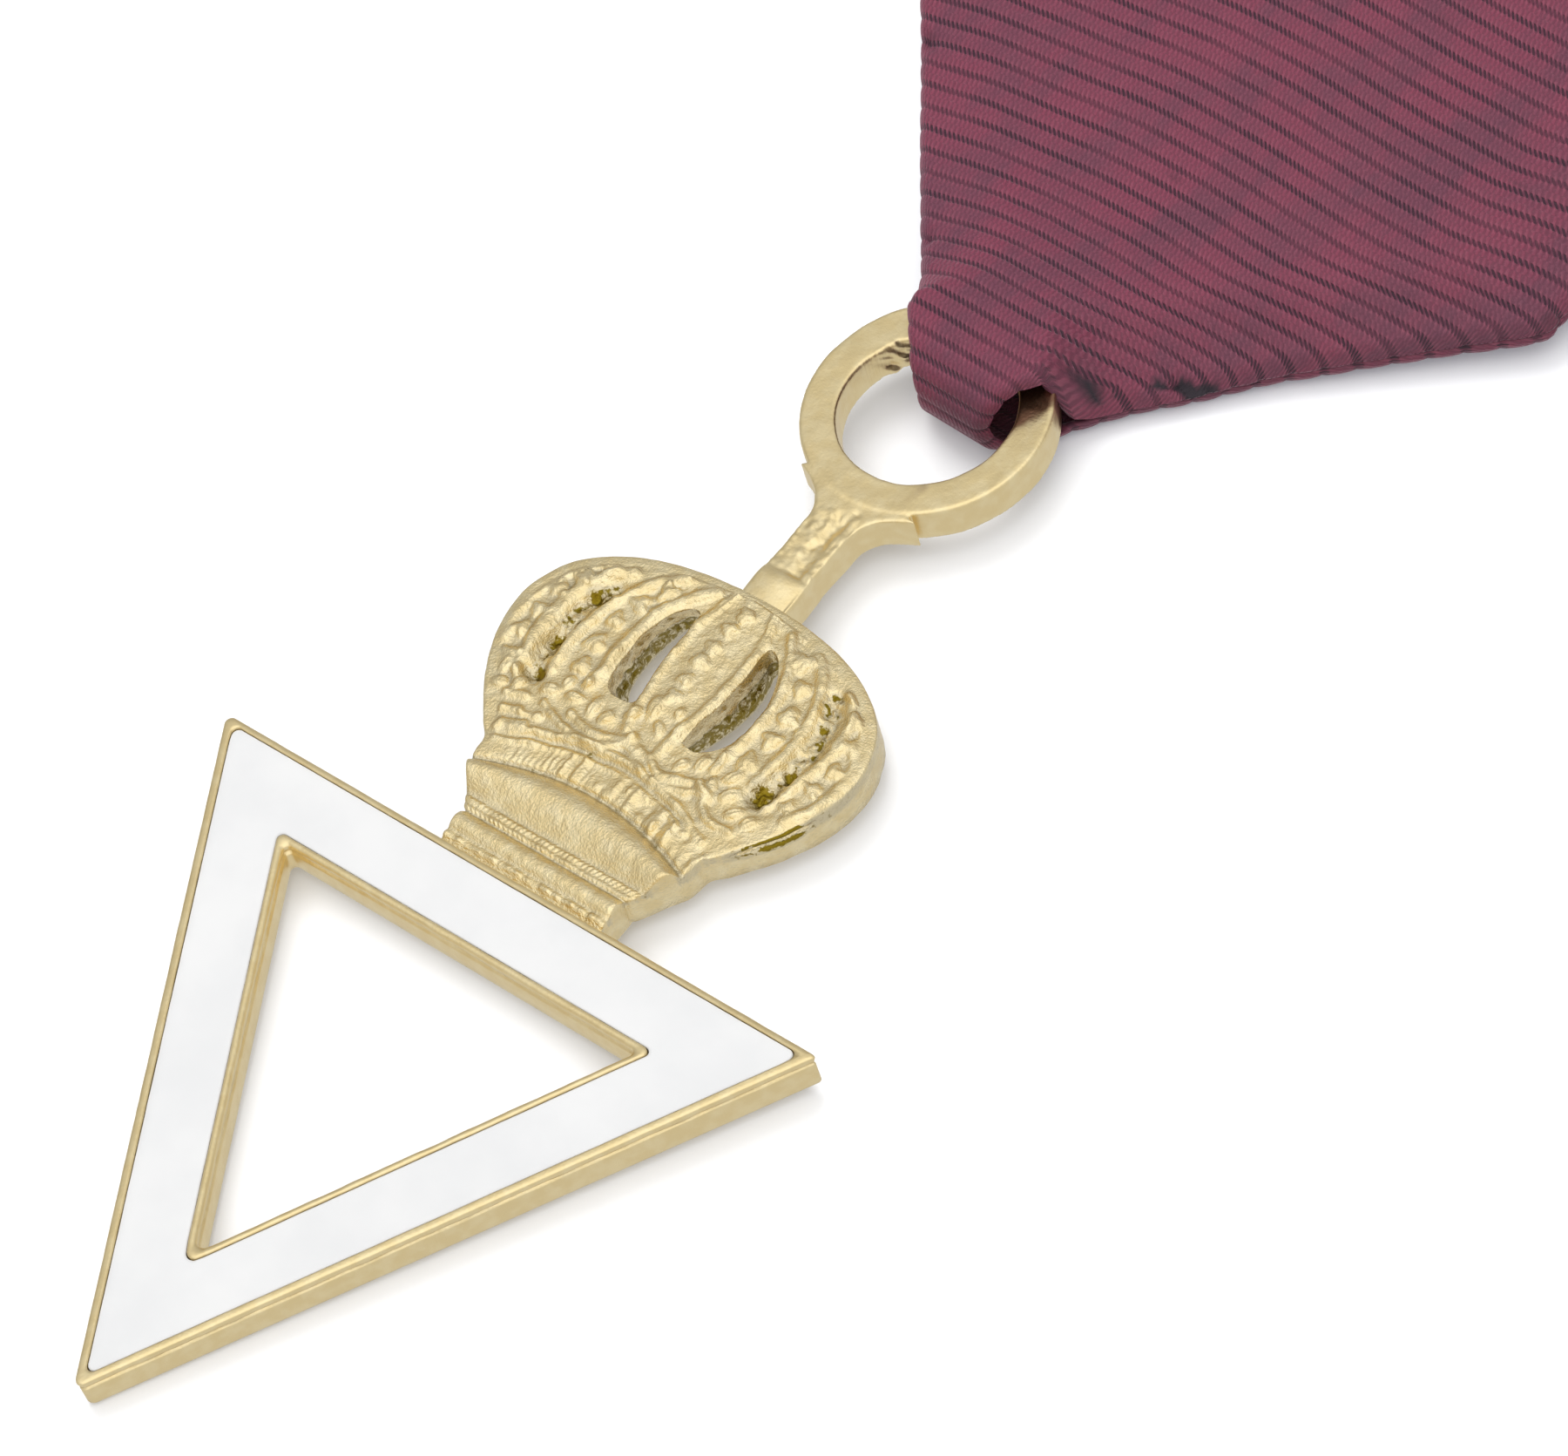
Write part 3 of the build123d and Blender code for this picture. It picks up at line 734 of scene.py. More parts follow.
# %% Where the straps, pearls and hollows lie
CROWN_PLATE = 1.50
PANEL_LEFT = [(-0.50, 7.6), (-0.78, 8.9), (-0.96, 9.9), (-1.10, 11.2), (-1.14, 12.5), (-0.95, 13.7), (-0.60, 14.9)]
PANEL_RIGHT = [(1.30, 7.2), (1.40, 8.2), (1.62, 9.3), (1.84, 10.6), (1.86, 12.1), (1.74, 13.4), (1.30, 14.9)]
STRAP_LINES = [
    (PANEL_LEFT, 0.22, 0.20), (PANEL_RIGHT, 0.22, 0.22),
    ([(-3.05, 8.6), (-3.10, 10.5), (-3.02, 11.8), (-2.75, 12.8), (-2.15, 13.7), (-1.30, 14.5)], 0.27, 0.24),
    ([(-5.0, 8.3), (-5.1, 9.8), (-5.0, 10.9), (-4.75, 11.9), (-4.35, 12.8), (-3.70, 13.7), (-2.80, 14.4)], 0.28, 0.26),
    ([(3.72, 8.7), (3.92, 9.9), (3.98, 10.9), (3.78, 12.1), (3.35, 13.2), (2.52, 14.3)], 0.26, 0.22),
    ([(5.35, 8.2), (5.62, 9.6), (5.60, 10.9), (5.40, 12.1), (4.90, 13.2), (4.00, 14.2)], 0.26, 0.20),
    ([(-6.1, 7.6), (-6.45, 8.7), (-6.62, 9.9), (-6.55, 10.9), (-6.28, 12.0), (-5.7, 12.9), (-4.9, 13.6)], 0.28, 0.26),
    ([(-6.20, 9.2), (-6.25, 10.6), (-5.95, 11.7), (-5.40, 12.5)], 0.18, 0.14),
    ([(-7.55, 8.6), (-7.92, 9.8), (-7.85, 10.9), (-7.6, 11.6), (-7.2, 12.3), (-6.65, 13.1), (-5.9, 13.6)], 0.24, 0.22),
    ([(6.40, 7.7), (6.72, 8.5), (7.05, 9.6), (7.18, 10.6), (7.15, 11.6), (6.85, 12.6), (6.20, 13.5)], 0.24, 0.22),
    ([(7.50, 7.5), (8.10, 8.5), (8.38, 9.8), (8.33, 10.9), (7.98, 12.0), (7.30, 13.0), (6.50, 13.7)], 0.26, 0.22),
]
PEARL_LINES = [
    ([(0.22, 9.70), (0.16, 11.6), (0.18, 13.3), (0.30, 14.2)], 6, 0.42, 0.20),
    ([(-3.98, 9.0), (-4.10, 10.3), (-4.00, 11.5), (-3.68, 12.5), (-3.10, 13.5)], 5, 0.52, 0.28),
    ([(4.60, 8.9), (4.80, 10.2), (4.72, 11.5), (4.35, 12.6), (3.70, 13.6)], 5, 0.50, 0.26),
    ([(-6.85, 8.1), (-7.20, 9.3), (-7.25, 10.5), (-6.98, 11.6), (-6.45, 12.5), (-5.75, 13.2)], 6, 0.46, 0.28),
    ([(7.20, 8.1), (7.62, 9.3), (7.78, 10.5), (7.60, 11.6), (7.15, 12.6), (6.50, 13.4)], 6, 0.46, 0.26),
]
HOLLOWS = [
    [(-5.55, 8.0), (-5.75, 9.5), (-5.72, 10.8), (-5.45, 11.8), (-5.05, 12.5)],
    [(5.95, 7.9), (6.28, 9.4), (6.35, 10.8), (6.15, 12.0), (5.70, 12.9)],
]
PITS = [(-5.30, 7.95, 0.34), (-5.62, 11.95, 0.30), (-5.72, 9.6, 0.30), (5.95, 8.05, 0.50), (6.35, 9.3, 0.30)]
print(len(STRAP_LINES), "strap edges,", sum(row[1] for row in PEARL_LINES), "pearls,", len(PITS), "pits")


# %% The vault
def crown_height(x, y):
    """The height of the crown's arches over its back, in millimetres."""
    from_axis = x - AXIS_X
    z = CROWN_PLATE + 0.18 + 0.20 * (1 - (from_axis / 9.5) ** 2) * soft(y, 4.5, 8.0)
    left, right = (np.interp(y, [p[1] for p in side], [p[0] for p in side]) for side in (PANEL_LEFT, PANEL_RIGHT))
    share = np.clip((x - left) / (right - left), 0, 1)
    panel = soft(4 * share * (1 - share), 0.0, 0.25) * soft(y, 8.3, 9.2)
    z = z + panel * (0.05 + 0.10 * (1 - (2 * share - 1) ** 2))
    rough = (1 - panel) * soft(y, 6.6, 7.4)
    z = z + rough * (0.035 * uneven(x, y, 0.70, 3) + 0.020 * uneven(x, y, 0.38, 8))
    for line in HOLLOWS:
        away, _ = from_line(x, y, line)
        scratches = 0.8 * uneven(x + 0.5 * y, y - 0.2 * x, 0.17, 4) + 0.7 * uneven(x, y, 0.30, 6)
        z = z - soft(0.60 - away, 0.0, 0.40) * (0.16 + 0.11 * scratches)
    for px, py, radius in PITS:
        z = z - 0.30 * np.exp(-(((x - px) ** 2 + (0.8 * (y - py)) ** 2) / radius**2)) * (1 + 0.6 * uneven(x, y, 0.2, 9))
    for points, width, height in STRAP_LINES:
        z = z + ridge(x, y, points, width, height)
    raised = np.zeros(x.shape)
    for points, count, radius, height in PEARL_LINES:
        raised = np.maximum(raised, pearl_row(x, y, points, count, radius, height))
    return z + raised


print("vault:", len(HOLLOWS), "hollows beside the outer straps")

# %% [markdown]
# The foot is a stack of bands, told apart by how far up they lie. From below they are a thin uneven bead, a full
# round bead, a rope of two strands, a smooth swelling band, and a row of worn teeth under an arched line.

# %% The foot
BAND_LOW = 2.14
TOOTH_PITCH = 0.26
TOOTH_BARS = [(-1.55, 0.16, 0.10), (-0.95, 0.16, 0.10), (1.65, 0.15, 0.18), (3.18, 0.17, 0.20), (3.95, 0.14, 0.14)]


def crown_foot(x, y):
    """The bands under the crown's arches: beads, rope, the smooth band, the teeth and the arched line."""
    from_axis = x - AXIS_X
    arch = 4.62 - 0.040 * from_axis**2
    line_y = 6.28 - 0.036 * from_axis**2
    z = np.full(x.shape, CROWN_PLATE - 0.05)
    z += 0.42 * dome((y - 1.03) / 0.48) ** 0.6
    z += 0.22 * dome((y - 0.36) / 0.20) * (1 + 0.35 * uneven(x, y, 0.25, 2))
    for rope_y, turn in ((1.73, 1), (2.02, -1)):
        twist = 0.88 + 0.12 * np.cos(2 * np.pi * (x + 0.9 * turn * (y - rope_y)) / 0.24)
        z += 0.22 * dome((y - rope_y) / 0.17) * twist * (1 + 0.25 * uneven(x, y, 0.6, 7))
    rise = np.clip((y - BAND_LOW) / np.maximum(arch - BAND_LOW, 0.3), 0, 1)
    z += np.where((y > BAND_LOW) & (y < arch), 0.78 * np.sin(np.pi * rise**1.4) ** 0.75, 0)
    share = np.clip((y - arch) / np.maximum(line_y - 0.35 - arch, 0.3), 0, 1)
    teeth = np.cos(2 * np.pi * (x + 0.05 * uneven(x, y, 0.7, 6)) / TOOTH_PITCH)
    fine = 0.022 * (1 + 0.8 * uneven(x, y, 0.5, 2)) * teeth * soft(-x, -0.2, 1.0) * soft(x, -4.2, -3.0)
    broken = soft(x, -0.6, 1.0) * (0.10 * uneven(x, y * 0.6, 0.26, 4) + 0.06 * uneven(x, y, 0.5, 9))
    bars = np.zeros(x.shape)
    for bar_x, bar_width, bar_height in TOOTH_BARS:
        bars = np.maximum(bars, bar_height * np.exp(-(((x - bar_x) / bar_width) ** 2)))
    tooth = 0.10 + fine + broken + bars
    toothed = (y >= arch) & (y < line_y + 0.2)
    z += np.where(toothed, tooth * np.sin(np.pi * share) ** 0.5, 0) + 0.18 * soft(y - arch, 0.0, 0.25)
    return z, line_y


print("foot:", len(TOOTH_BARS), "strong teeth")

# %% [markdown]
# Over the teeth run the arched lines and the swags, and between them and the straps grow small leaves, each given
# by its place, its turn in degrees and its two sizes.

# %% Arched lines, swags and leaves
ARCH_LINES = [
    (
        [(-5.10, 5.10), (-3.30, 5.78), (-1.80, 6.18), (-0.50, 6.36), (0.90, 6.36), (2.60, 6.10), (3.90, 5.72),
         (5.20, 5.10)], 0.20, 0.24,
    ),
    ([(-4.90, 4.72), (-3.00, 5.36), (-1.50, 5.74), (0.60, 5.92), (2.60, 5.66), (4.40, 5.10)], 0.15, 0.14),
    ([(-2.90, 7.05), (-2.00, 6.78), (-1.10, 6.84), (-0.40, 7.16), (0.05, 7.40)], 0.20, 0.22),
    ([(0.05, 7.40), (0.60, 7.12), (1.20, 6.92), (2.00, 6.72), (2.90, 6.85), (3.70, 7.05), (4.30, 6.80)], 0.20, 0.22),
    (
        [(-4.20, 6.85), (-3.20, 6.55), (-2.30, 6.35), (-1.20, 6.45), (-0.40, 6.78), (0.05, 7.05), (0.60, 6.78),
         (1.25, 6.42)], 0.17, 0.20,
    ),
    ([(3.70, 7.05), (4.30, 6.40), (5.00, 6.05), (5.90, 6.05)], 0.18, 0.20),
    ([(1.90, 6.42), (2.80, 6.46), (3.60, 6.66), (4.20, 6.95)], 0.16, 0.16),
    ([(-5.10, 5.40), (-4.20, 5.75)], 0.19, 0.24),
    ([(-5.50, 5.95), (-4.80, 6.20)], 0.19, 0.24),
    ([(-5.80, 6.60), (-5.00, 6.85)], 0.19, 0.22),
    ([(-4.60, 6.10), (-3.90, 6.35)], 0.16, 0.18),
]
LEAVES = [
    (-6.40, 6.85, 20, 0.40, 0.26), (-5.60, 7.20, 60, 0.46, 0.26), (-5.95, 7.55, 100, 0.42, 0.22),
    (-6.60, 7.55, 90, 0.42, 0.28), (-4.30, 7.50, 30, 0.50, 0.28), (-3.85, 8.15, 80, 0.46, 0.24),
    (-3.25, 7.75, 20, 0.46, 0.26), (-3.15, 8.50, 70, 0.34, 0.22), (-2.25, 7.80, 95, 0.60, 0.28),
    (-1.50, 7.60, 60, 0.40, 0.26), (-0.60, 8.25, 50, 0.50, 0.26), (-0.05, 8.95, 92, 0.70, 0.34),
    (0.70, 8.25, 130, 0.46, 0.24), (1.00, 9.20, 90, 0.38, 0.18), (3.10, 7.95, 85, 0.46, 0.24),
    (3.68, 8.20, 95, 0.60, 0.24), (2.40, 7.50, 60, 0.40, 0.24), (4.55, 8.10, 70, 0.50, 0.26),
    (4.95, 7.35, 50, 0.60, 0.28), (5.60, 6.80, 40, 0.50, 0.26), (6.35, 6.75, 60, 0.40, 0.26),
    (4.10, 7.40, 120, 0.40, 0.24),
]
LEAF_HEIGHT = 0.26
print(len(ARCH_LINES), "lines and", len(LEAVES), "leaves")

# %% [markdown]
# All of it is laid over the grid, slightly warped, as no chaser's line is perfectly true. The gilding then fills the
# grooves a little, and along the top the face ends in a plain rim with a rounded shoulder.

# %% The whole relief
FILLED = 0.6
RIM_HEIGHT = 0.33


def whole_crown(x, y):
    """Arches, foot, lines and leaves together, with the wear and the unevenness of the cast."""
    wx = x + 0.06 * uneven(x, y, 0.9, 12) + 0.04 * uneven(x, y, 0.34, 13)
    wy = y + 0.06 * uneven(x, y, 0.9, 14) + 0.04 * uneven(x, y, 0.34, 15)
    upper = crown_height(wx, wy)
    foot, line_y = crown_foot(x, y)
    blend = soft(y - line_y, -0.25, 0.15)
    z = foot * (1 - blend) + upper * blend
    for points, width, height in ARCH_LINES:
        z = z + ridge(wx, wy, points, width, height)
    foliage = [leaf(wx, wy, (cx, cy), turn, length, width, LEAF_HEIGHT) for cx, cy, turn, length, width in LEAVES]
    z = z + np.maximum.reduce(foliage)
    calm = 0.5 + 0.5 * soft(y, 4.0, 5.0)
    return z + calm * (0.020 * uneven(x, y, 0.24, 1) + 0.018 * uneven(x, y, 0.13, 2)) + 0.015 * uneven(x, y, 0.8, 3)


def blur(grid, passes):
    """Each height averaged with its neighbours, again and again."""
    for _ in range(passes):
        padded = np.pad(grid, 1, mode="edge")
        grid = (padded[:-2, 1:-1] + padded[2:, 1:-1] + padded[1:-1, :-2] + padded[1:-1, 2:] + 2 * grid) / 6
    return grid


crown_z = whole_crown(crown_x, crown_y)
crown_z += FILLED * np.clip(blur(crown_z, 12) - crown_z, 0, None)
rim_slope = np.gradient(crown_side[:, 1], crown_side[:, 0])[:, None]
to_side = (1 - np.abs(crown_share)[None, :]) * crown_side[:, 1:2] / np.sqrt(1 + rim_slope**2)
plain = (1 - soft(to_side, 0.45, 0.75)) * soft(crown_y, 8.0, 11.5)
crown_z = crown_z * (1 - plain) + (CROWN_PLATE + RIM_HEIGHT + 0.01 * uneven(crown_x, crown_y, 0.3, 3)) * plain
shoulder = 0.20 + 0.35 * soft(crown_y, 10.5, 13.5)
crown_z -= 0.10 * (1 - np.sqrt(dome(np.clip(1 - to_side / shoulder, 0, 1))))
print("crown relief from", round(crown_z.min(), 2), "to", round(crown_z.max(), 2), "mm")

# %% [markdown]
# The grid is only the face. A wall goes down from its edge to the back, with a groove under the right edge that is
# painted dark as shade, and the back is closed flat. The two crescent openings beside the middle panel are cut
# through with a Boolean, and their cutters have rough walls, because the real ones were left as cast.

# %% The crown's body
WALL_STEPS = [0.04, 0.09, 0.19, 0.24, 0.45, 0.70, 0.94, 1.0]
GROOVE_STEPS = (0.09, 0.19)


def crown_mesh():
    rows, columns = crown_x.shape
    face = np.stack([crown_x, crown_y, crown_z], axis=-1).reshape(-1, 3)
    rim = grid_rim(rows, columns)
    x, y, z = face[rim].T
    inward = np.array([CROWN_X, 8.0]) - face[rim, :2]
    inward /= np.linalg.norm(inward, axis=1)[:, None]
    groove = 0.20 * soft(x, 4.2, 5.6) * soft(y, 4.9, 6.6) * (1 - soft(y, 7.2, 8.6)) * (1 + 0.5 * uneven(x, y, 0.4, 4))
    walls = []
    for share in WALL_STEPS:
        low = np.maximum(z * (1 - share), 0.0)
        push = 0.08 if share == 1.0 else 0.02 * uneven(x * 3, low * 4 + y * 3, 1.2, 6)
        push = push + (groove if share in GROOVE_STEPS else 0)
        walls.append(np.column_stack([face[rim, :2] + inward * np.reshape(push, (-1, 1)), low]))
    faces = grid_faces(rows, columns)
    loops = [rim] + [rows * columns + k * len(rim) + np.arange(len(rim)) for k in range(len(WALL_STEPS))]
    for upper, lower in zip(loops[:-1], loops[1:]):
        faces += band_faces(upper, lower)
    faces.append(loops[-1].tolist())
    return np.vstack([face, *walls]), faces


def slot_cutter(name, front, back):
    """A crescent that widens from the face to the back, with rough walls, for the Boolean."""
    fronts = smooth_line([*front, front[0]], 90)[:-1]
    backs = smooth_line([*back, back[0]], 90)[:-1]
    rows = []
    for z in np.linspace(-0.4, 2.8, 26):
        share = np.clip(z / 1.8, 0, 1)
        loop = fronts * share + backs * (1 - share)
        away = (loop - loop.mean(axis=0)) * np.array([1.0, 0.25])
        away /= np.linalg.norm(away, axis=1)[:, None]
        inside = float(soft(z, 0.05, 0.45) * (1 - soft(z, 1.55, 1.85)))
        x, y = loop.T
        level = np.full(len(loop), z)
        torn = 0.10 * uneven(y * 2 + x, level * 2, 0.5, 7) + 0.05 * uneven(y * 2, level * 2, 0.25, 8)
        rows.append(np.column_stack([loop + away * torn[:, None] * inside, level]))
    points = np.vstack(rows)
    count = len(fronts)
    faces = grid_faces(len(rows), count, close_columns=True)
    faces += [list(range(count)), list(range(len(points) - count, len(points)))]
    return make_piece(name, points, faces, JEWEL, gilt_relief)


LEFT_FRONT = [
    (-1.18, 8.66), (-0.93, 8.88), (-1.03, 9.60), (-1.18, 10.6), (-1.22, 11.6), (-1.24, 12.6), (-1.40, 13.40),
    (-1.85, 13.40), (-2.26, 12.95), (-2.55, 12.30), (-2.72, 11.5), (-2.74, 10.5), (-2.66, 9.50), (-2.45, 8.85),
    (-1.90, 8.60),
]
LEFT_BACK = [
    (-1.40, 8.76), (-1.20, 9.00), (-1.30, 9.60), (-1.42, 10.6), (-1.44, 11.6), (-1.42, 12.6), (-1.50, 13.60),
    (-2.10, 13.70), (-2.50, 13.35), (-2.71, 12.52), (-2.82, 11.6), (-2.80, 10.65), (-2.65, 9.90), (-2.34, 9.42),
    (-1.85, 8.90),
]
RIGHT_FRONT = [
    (1.78, 8.25), (1.84, 9.20), (2.05, 10.4), (2.10, 11.6), (2.06, 12.7), (2.10, 13.45), (2.60, 13.30), (3.15, 12.6),
    (3.55, 11.7), (3.75, 10.8), (3.69, 9.80), (3.32, 8.86), (2.50, 8.20),
]
RIGHT_BACK = [
    (1.34, 8.60), (1.62, 9.04), (2.00, 10.22), (2.22, 11.32), (2.20, 12.42), (1.96, 13.50), (2.50, 13.50), (3.02, 12.6),
    (3.36, 11.7), (3.52, 10.8), (3.42, 9.80), (3.05, 8.90), (2.30, 8.10),
]
crown_points, crown_faces = crown_mesh()
crown = make_piece("crown", crown_points, crown_faces, JEWEL, gilt_relief)
cutters = [
    slot_cutter("slot_left", LEFT_FRONT, LEFT_BACK),
    slot_cutter("slot_right", RIGHT_FRONT, RIGHT_BACK),
]
for cutter in cutters:
    cut = crown.modifiers.new("cut", "BOOLEAN")
    cut.object = cutter
    cut.operation = "DIFFERENCE"
    cut.solver = "EXACT"
finished = worked_out(crown)
crown.modifiers.clear()
crown.data = finished
for cutter in cutters:
    bpy.data.objects.remove(cutter)
finished.shade_smooth()
print("crown:", count_triangles(crown), "triangles")

# %% [markdown]
# The darker tone of the hollows needs to know which points lie low. The relief is compared with itself after
# blurring: a point below the blurred height is a hollow. The scratched hollows between the straps, the walls of the
# two openings and the groove under the right edge are marked darker still; on the walls and in the groove this is a
# painted shade. The numbers go into the mesh as an attribute.

# %% Low places of the crown, with the painted shade of its openings and groove
# Painted shade for the walls of the two openings and for the groove under the right edge.
SLOT_WALL_SHADE = 1.5
EDGE_GROOVE_SHADE = 2.1
FACE_LOW = 1.2

crown_low = np.clip((blur(crown_z, 40) - crown_z) / 0.16, 0, 0.8)
for hollow_line in HOLLOWS:
    hollow_away, _ = from_line(crown_x, crown_y, hollow_line)
    scratchy = 0.55 + 0.9 * uneven(crown_x, crown_y, 0.22, 9) + 0.9 * uneven(crown_x + crown_y, crown_y, 0.16, 4)
    crown_low = np.maximum(crown_low, soft(0.55 - hollow_away, 0.0, 0.35) * scratchy * 1.15)
for pit_x, pit_y, pit_size in PITS:
    pit = np.exp(-((crown_x - pit_x) ** 2 + (0.8 * (crown_y - pit_y)) ** 2) / pit_size**2)
    crown_low = np.maximum(crown_low, 2.3 * pit + 0.4 * uneven(crown_x, crown_y, 0.18, 3) * pit)


def mark_hollows_and_shade(made):
    """Writes how low each point lies, from its place on the grid, and painted shade in the openings and edge groove."""
    x, y, z = ((read_points(made.data) / MM - JEWEL[0]) @ JEWEL[1].T).T
    row = np.interp(y, crown_side[:, 0], np.arange(CROWN_ROWS))
    halfway = np.interp(y, crown_side[:, 0], crown_side[:, 1])
    column = (np.clip((x - CROWN_X) / halfway, -1, 1) + 1) / 2 * (CROWN_COLUMNS - 1)
    low = crown_low[row.round().astype(int), column.round().astype(int)]
    # The walls of the two openings get a painted shade.
    inside_slot = (z < 1.1) & (z > 0.02) & (np.abs(x - AXIS_X) < 3.4) & (y > 8)
    low = np.where(inside_slot, SLOT_WALL_SHADE, np.where(z < FACE_LOW, 0.0, low))
    # So does the groove under the right edge, fading along it.
    under_edge = (column > CROWN_COLUMNS - 2.5) & (x > 4.6) & (z > FACE_LOW) & (z < 1.75)
    along_edge = soft(y, 4.8, 6.4) * (1 - soft(y, 7.4, 8.6)) + 0.3 * uneven(x, y, 0.3, 5)
    low = np.where(under_edge, np.maximum(low, EDGE_GROOVE_SHADE * along_edge), low)
    write_mark(made.data, "hollow", low)


mark_hollows_and_shade(crown)
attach(crown, "root")
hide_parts("jewel_casting")
print("hollow share of the crown:", round(float((crown_low > 0.5).mean()), 3))

# %% [markdown]
# The stem and the ring are one casting with soft corners where they meet. Two simple closed shapes are joined,
# and a voxel remesh melts them into one skin, which a little smoothing then rounds as metal rounds when it is
# cast and mopped.

# %% Stem and ring
STEM_LOW = 14.2
RING_Y = 25.89
RING_OUTER = 5.115
RING_INNER = 3.687
RING_THICK = 1.72
RING_X = 0.15
STEM_THICK = 1.66
SECTION_ROUND = 0.14


def rounded_section(half_width, thick):
    """A rectangle with rounded corners, as (across, height) points."""
    right, left = half_width - SECTION_ROUND, -half_width + SECTION_ROUND
    high, low = thick - SECTION_ROUND, SECTION_ROUND
    points = []
    for cx, cz, first in ((right, high, 0), (left, high, 90), (left, low, 180), (right, low, 270)):
        for turn in np.radians(np.linspace(first, first + 90, 7)):
            points.append((cx + SECTION_ROUND * math.cos(turn), cz + SECTION_ROUND * math.sin(turn)))
    return np.array(points)


def ring_shape():
    across, z = rounded_section((RING_OUTER - RING_INNER) / 2 + 0.03, RING_THICK).T
    reach = (RING_OUTER + RING_INNER) / 2 + across
    turns = np.linspace(0, 2 * math.pi, 220, endpoint=False)
    return np.array([
        np.column_stack([RING_X + reach * math.cos(turn), RING_Y + reach * math.sin(turn), z]) for turn in turns
    ])


def stem_shape():
    ends = [
        (STEM_LOW, 1.03), (15.5, 1.06), (16.6, 1.04), (17.5, 0.99), (19.0, 1.02), (19.8, 1.10), (20.4, 1.46),
        (20.7, 1.80), (21.0, 2.30), (21.30, 2.95),
    ]
    line = smooth_line(ends, 60)
    rows = []
    for y, half_width in line:
        section = rounded_section(half_width + 0.04, STEM_THICK)
        rows.append(np.column_stack([AXIS_X + section[:, 0], np.full(len(section), y), section[:, 1]]))
    return np.array(rows)


ring_rows, stem_rows = ring_shape(), stem_shape()
ring_count = ring_rows.shape[0] * ring_rows.shape[1]
section_size = stem_rows.shape[1]
stem_end = ring_count + stem_rows.shape[0] * section_size
stem_faces = grid_faces(*stem_rows.shape[:2], start=ring_count, close_columns=True)
stem_faces.append(list(range(ring_count, ring_count + section_size)))
stem_faces.append(list(range(stem_end - section_size, stem_end)))
loop_points = np.vstack([ring_rows.reshape(-1, 3), stem_rows.reshape(-1, 3)])
loop_faces = grid_faces(*ring_rows.shape[:2], close_rows=True, close_columns=True) + stem_faces
print("stem and ring start as", len(loop_points), "points")

# %% [markdown]
# The remeshed skin is then worked by hand, so to speak: every point moves a little along the way it faces, for the
# dents and file marks, the rough hollow on the stem's face and the small swelling above the crown.

# %% One skin for stem and ring
VOXEL = 0.085


def melted(points, faces, voxel):
    """The union of closed shapes as one even skin. It is made in millimetres, for the voxels' sake."""
    holder = put("melt", outward_mesh("melt", points, faces))
    remesh = holder.modifiers.new("skin", "REMESH")
    remesh.mode = "VOXEL"
    remesh.voxel_size = voxel
    calm = holder.modifiers.new("calm", "SMOOTH")
    calm.factor = 0.5
    calm.iterations = 2
    skin = worked_out(holder)
    bpy.data.objects.remove(holder)
    return skin


def spot(x, y, place, size):
    """1 at a place, fading away round it over a size in x and in y."""
    return np.exp(-(((x - place[0]) / size[0]) ** 2) - (((y - place[1]) / size[1]) ** 2))


def hand_finish(co, normal):
    """Dents, file marks and the rough hollow on the stem, as heights along the surface's own direction."""
    x, y, z = co.T
    up = np.clip(normal[:, 2], 0, 1) ** 3
    swell = spot(x, y, (-3.2, 28.6), (2.0, 1.8)) * (1 - up)
    height = 0.10 * swell + 0.020 * uneven(x, y, 1.1, 1) + 0.008 * uneven(x + z, y, 0.4, 2)
    on_stem = soft(y, 14.8, 15.2) * (1 - soft(y, 20.0, 20.8))
    rough = soft(y, 16.7, 16.9) * (1 - soft(y, 19.8, 20.4)) * up
    height += rough * (0.06 * uneven(x, y * 0.6, 0.26, 3) + 0.035 * uneven(x, y, 0.17, 4))
    groove = np.exp(-(((x - 0.52) / 0.34) ** 4)) * rough
    height -= 0.16 * groove
    bulge = on_stem * (1 - soft(y, 16.1, 17.2)) * up
    height += bulge * (0.14 * np.cos((x - AXIS_X) * 1.6) + 0.09 * (y - 15.8) - 0.10 * (x - AXIS_X))
    height -= 0.06 * np.exp(-(((y - 16.78) / 0.16) ** 2)) * up * on_stem
    height -= 0.10 * spot(x, y, (0.9, 20.4), (0.18, 0.12)) * up
    burr = spot(x, y, (-3.1, 27.8), (0.55, 0.8)) * (1 - up)
    height += burr * 0.12 * uneven(x * 2, y * 2 + z * 3, 0.5, 5)
    return height


skin = melted(loop_points, loop_faces, VOXEL)
skin_points, skin_ways = read_points(skin), read_points(skin, "normal")
skin_points = skin_points + skin_ways * hand_finish(skin_points, skin_ways)[:, None]
skin.vertices.foreach_set("co", in_row(skin_points, JEWEL).ravel())
skin.update()
skin.shade_smooth()
skin.materials.clear()
skin.materials.append(gilt_filed_painted_shade)
stem_and_ring = put("stem_and_ring", skin)
print("skin:", len(skin.vertices), "points")

# %% [markdown]
# Where the ring goes into the ribbon's mouth, the cloth keeps the light away, so the gilt there is painted brown, a
# painted shade with a painted reflection of the cloth. A slanted line across the ring, torn a little by unevenness,
# says where that painted shade begins.

# %% The painted shade on the covered part of the ring
MOUTH = (3.90, 27.04)
MOUTH_TURN = math.radians(70.8)
ring_x, ring_y = skin_points[:, 0], skin_points[:, 1]
beyond = (ring_y - MOUTH[1]) * math.cos(MOUTH_TURN) - (ring_x - MOUTH[0]) * math.sin(MOUTH_TURN)
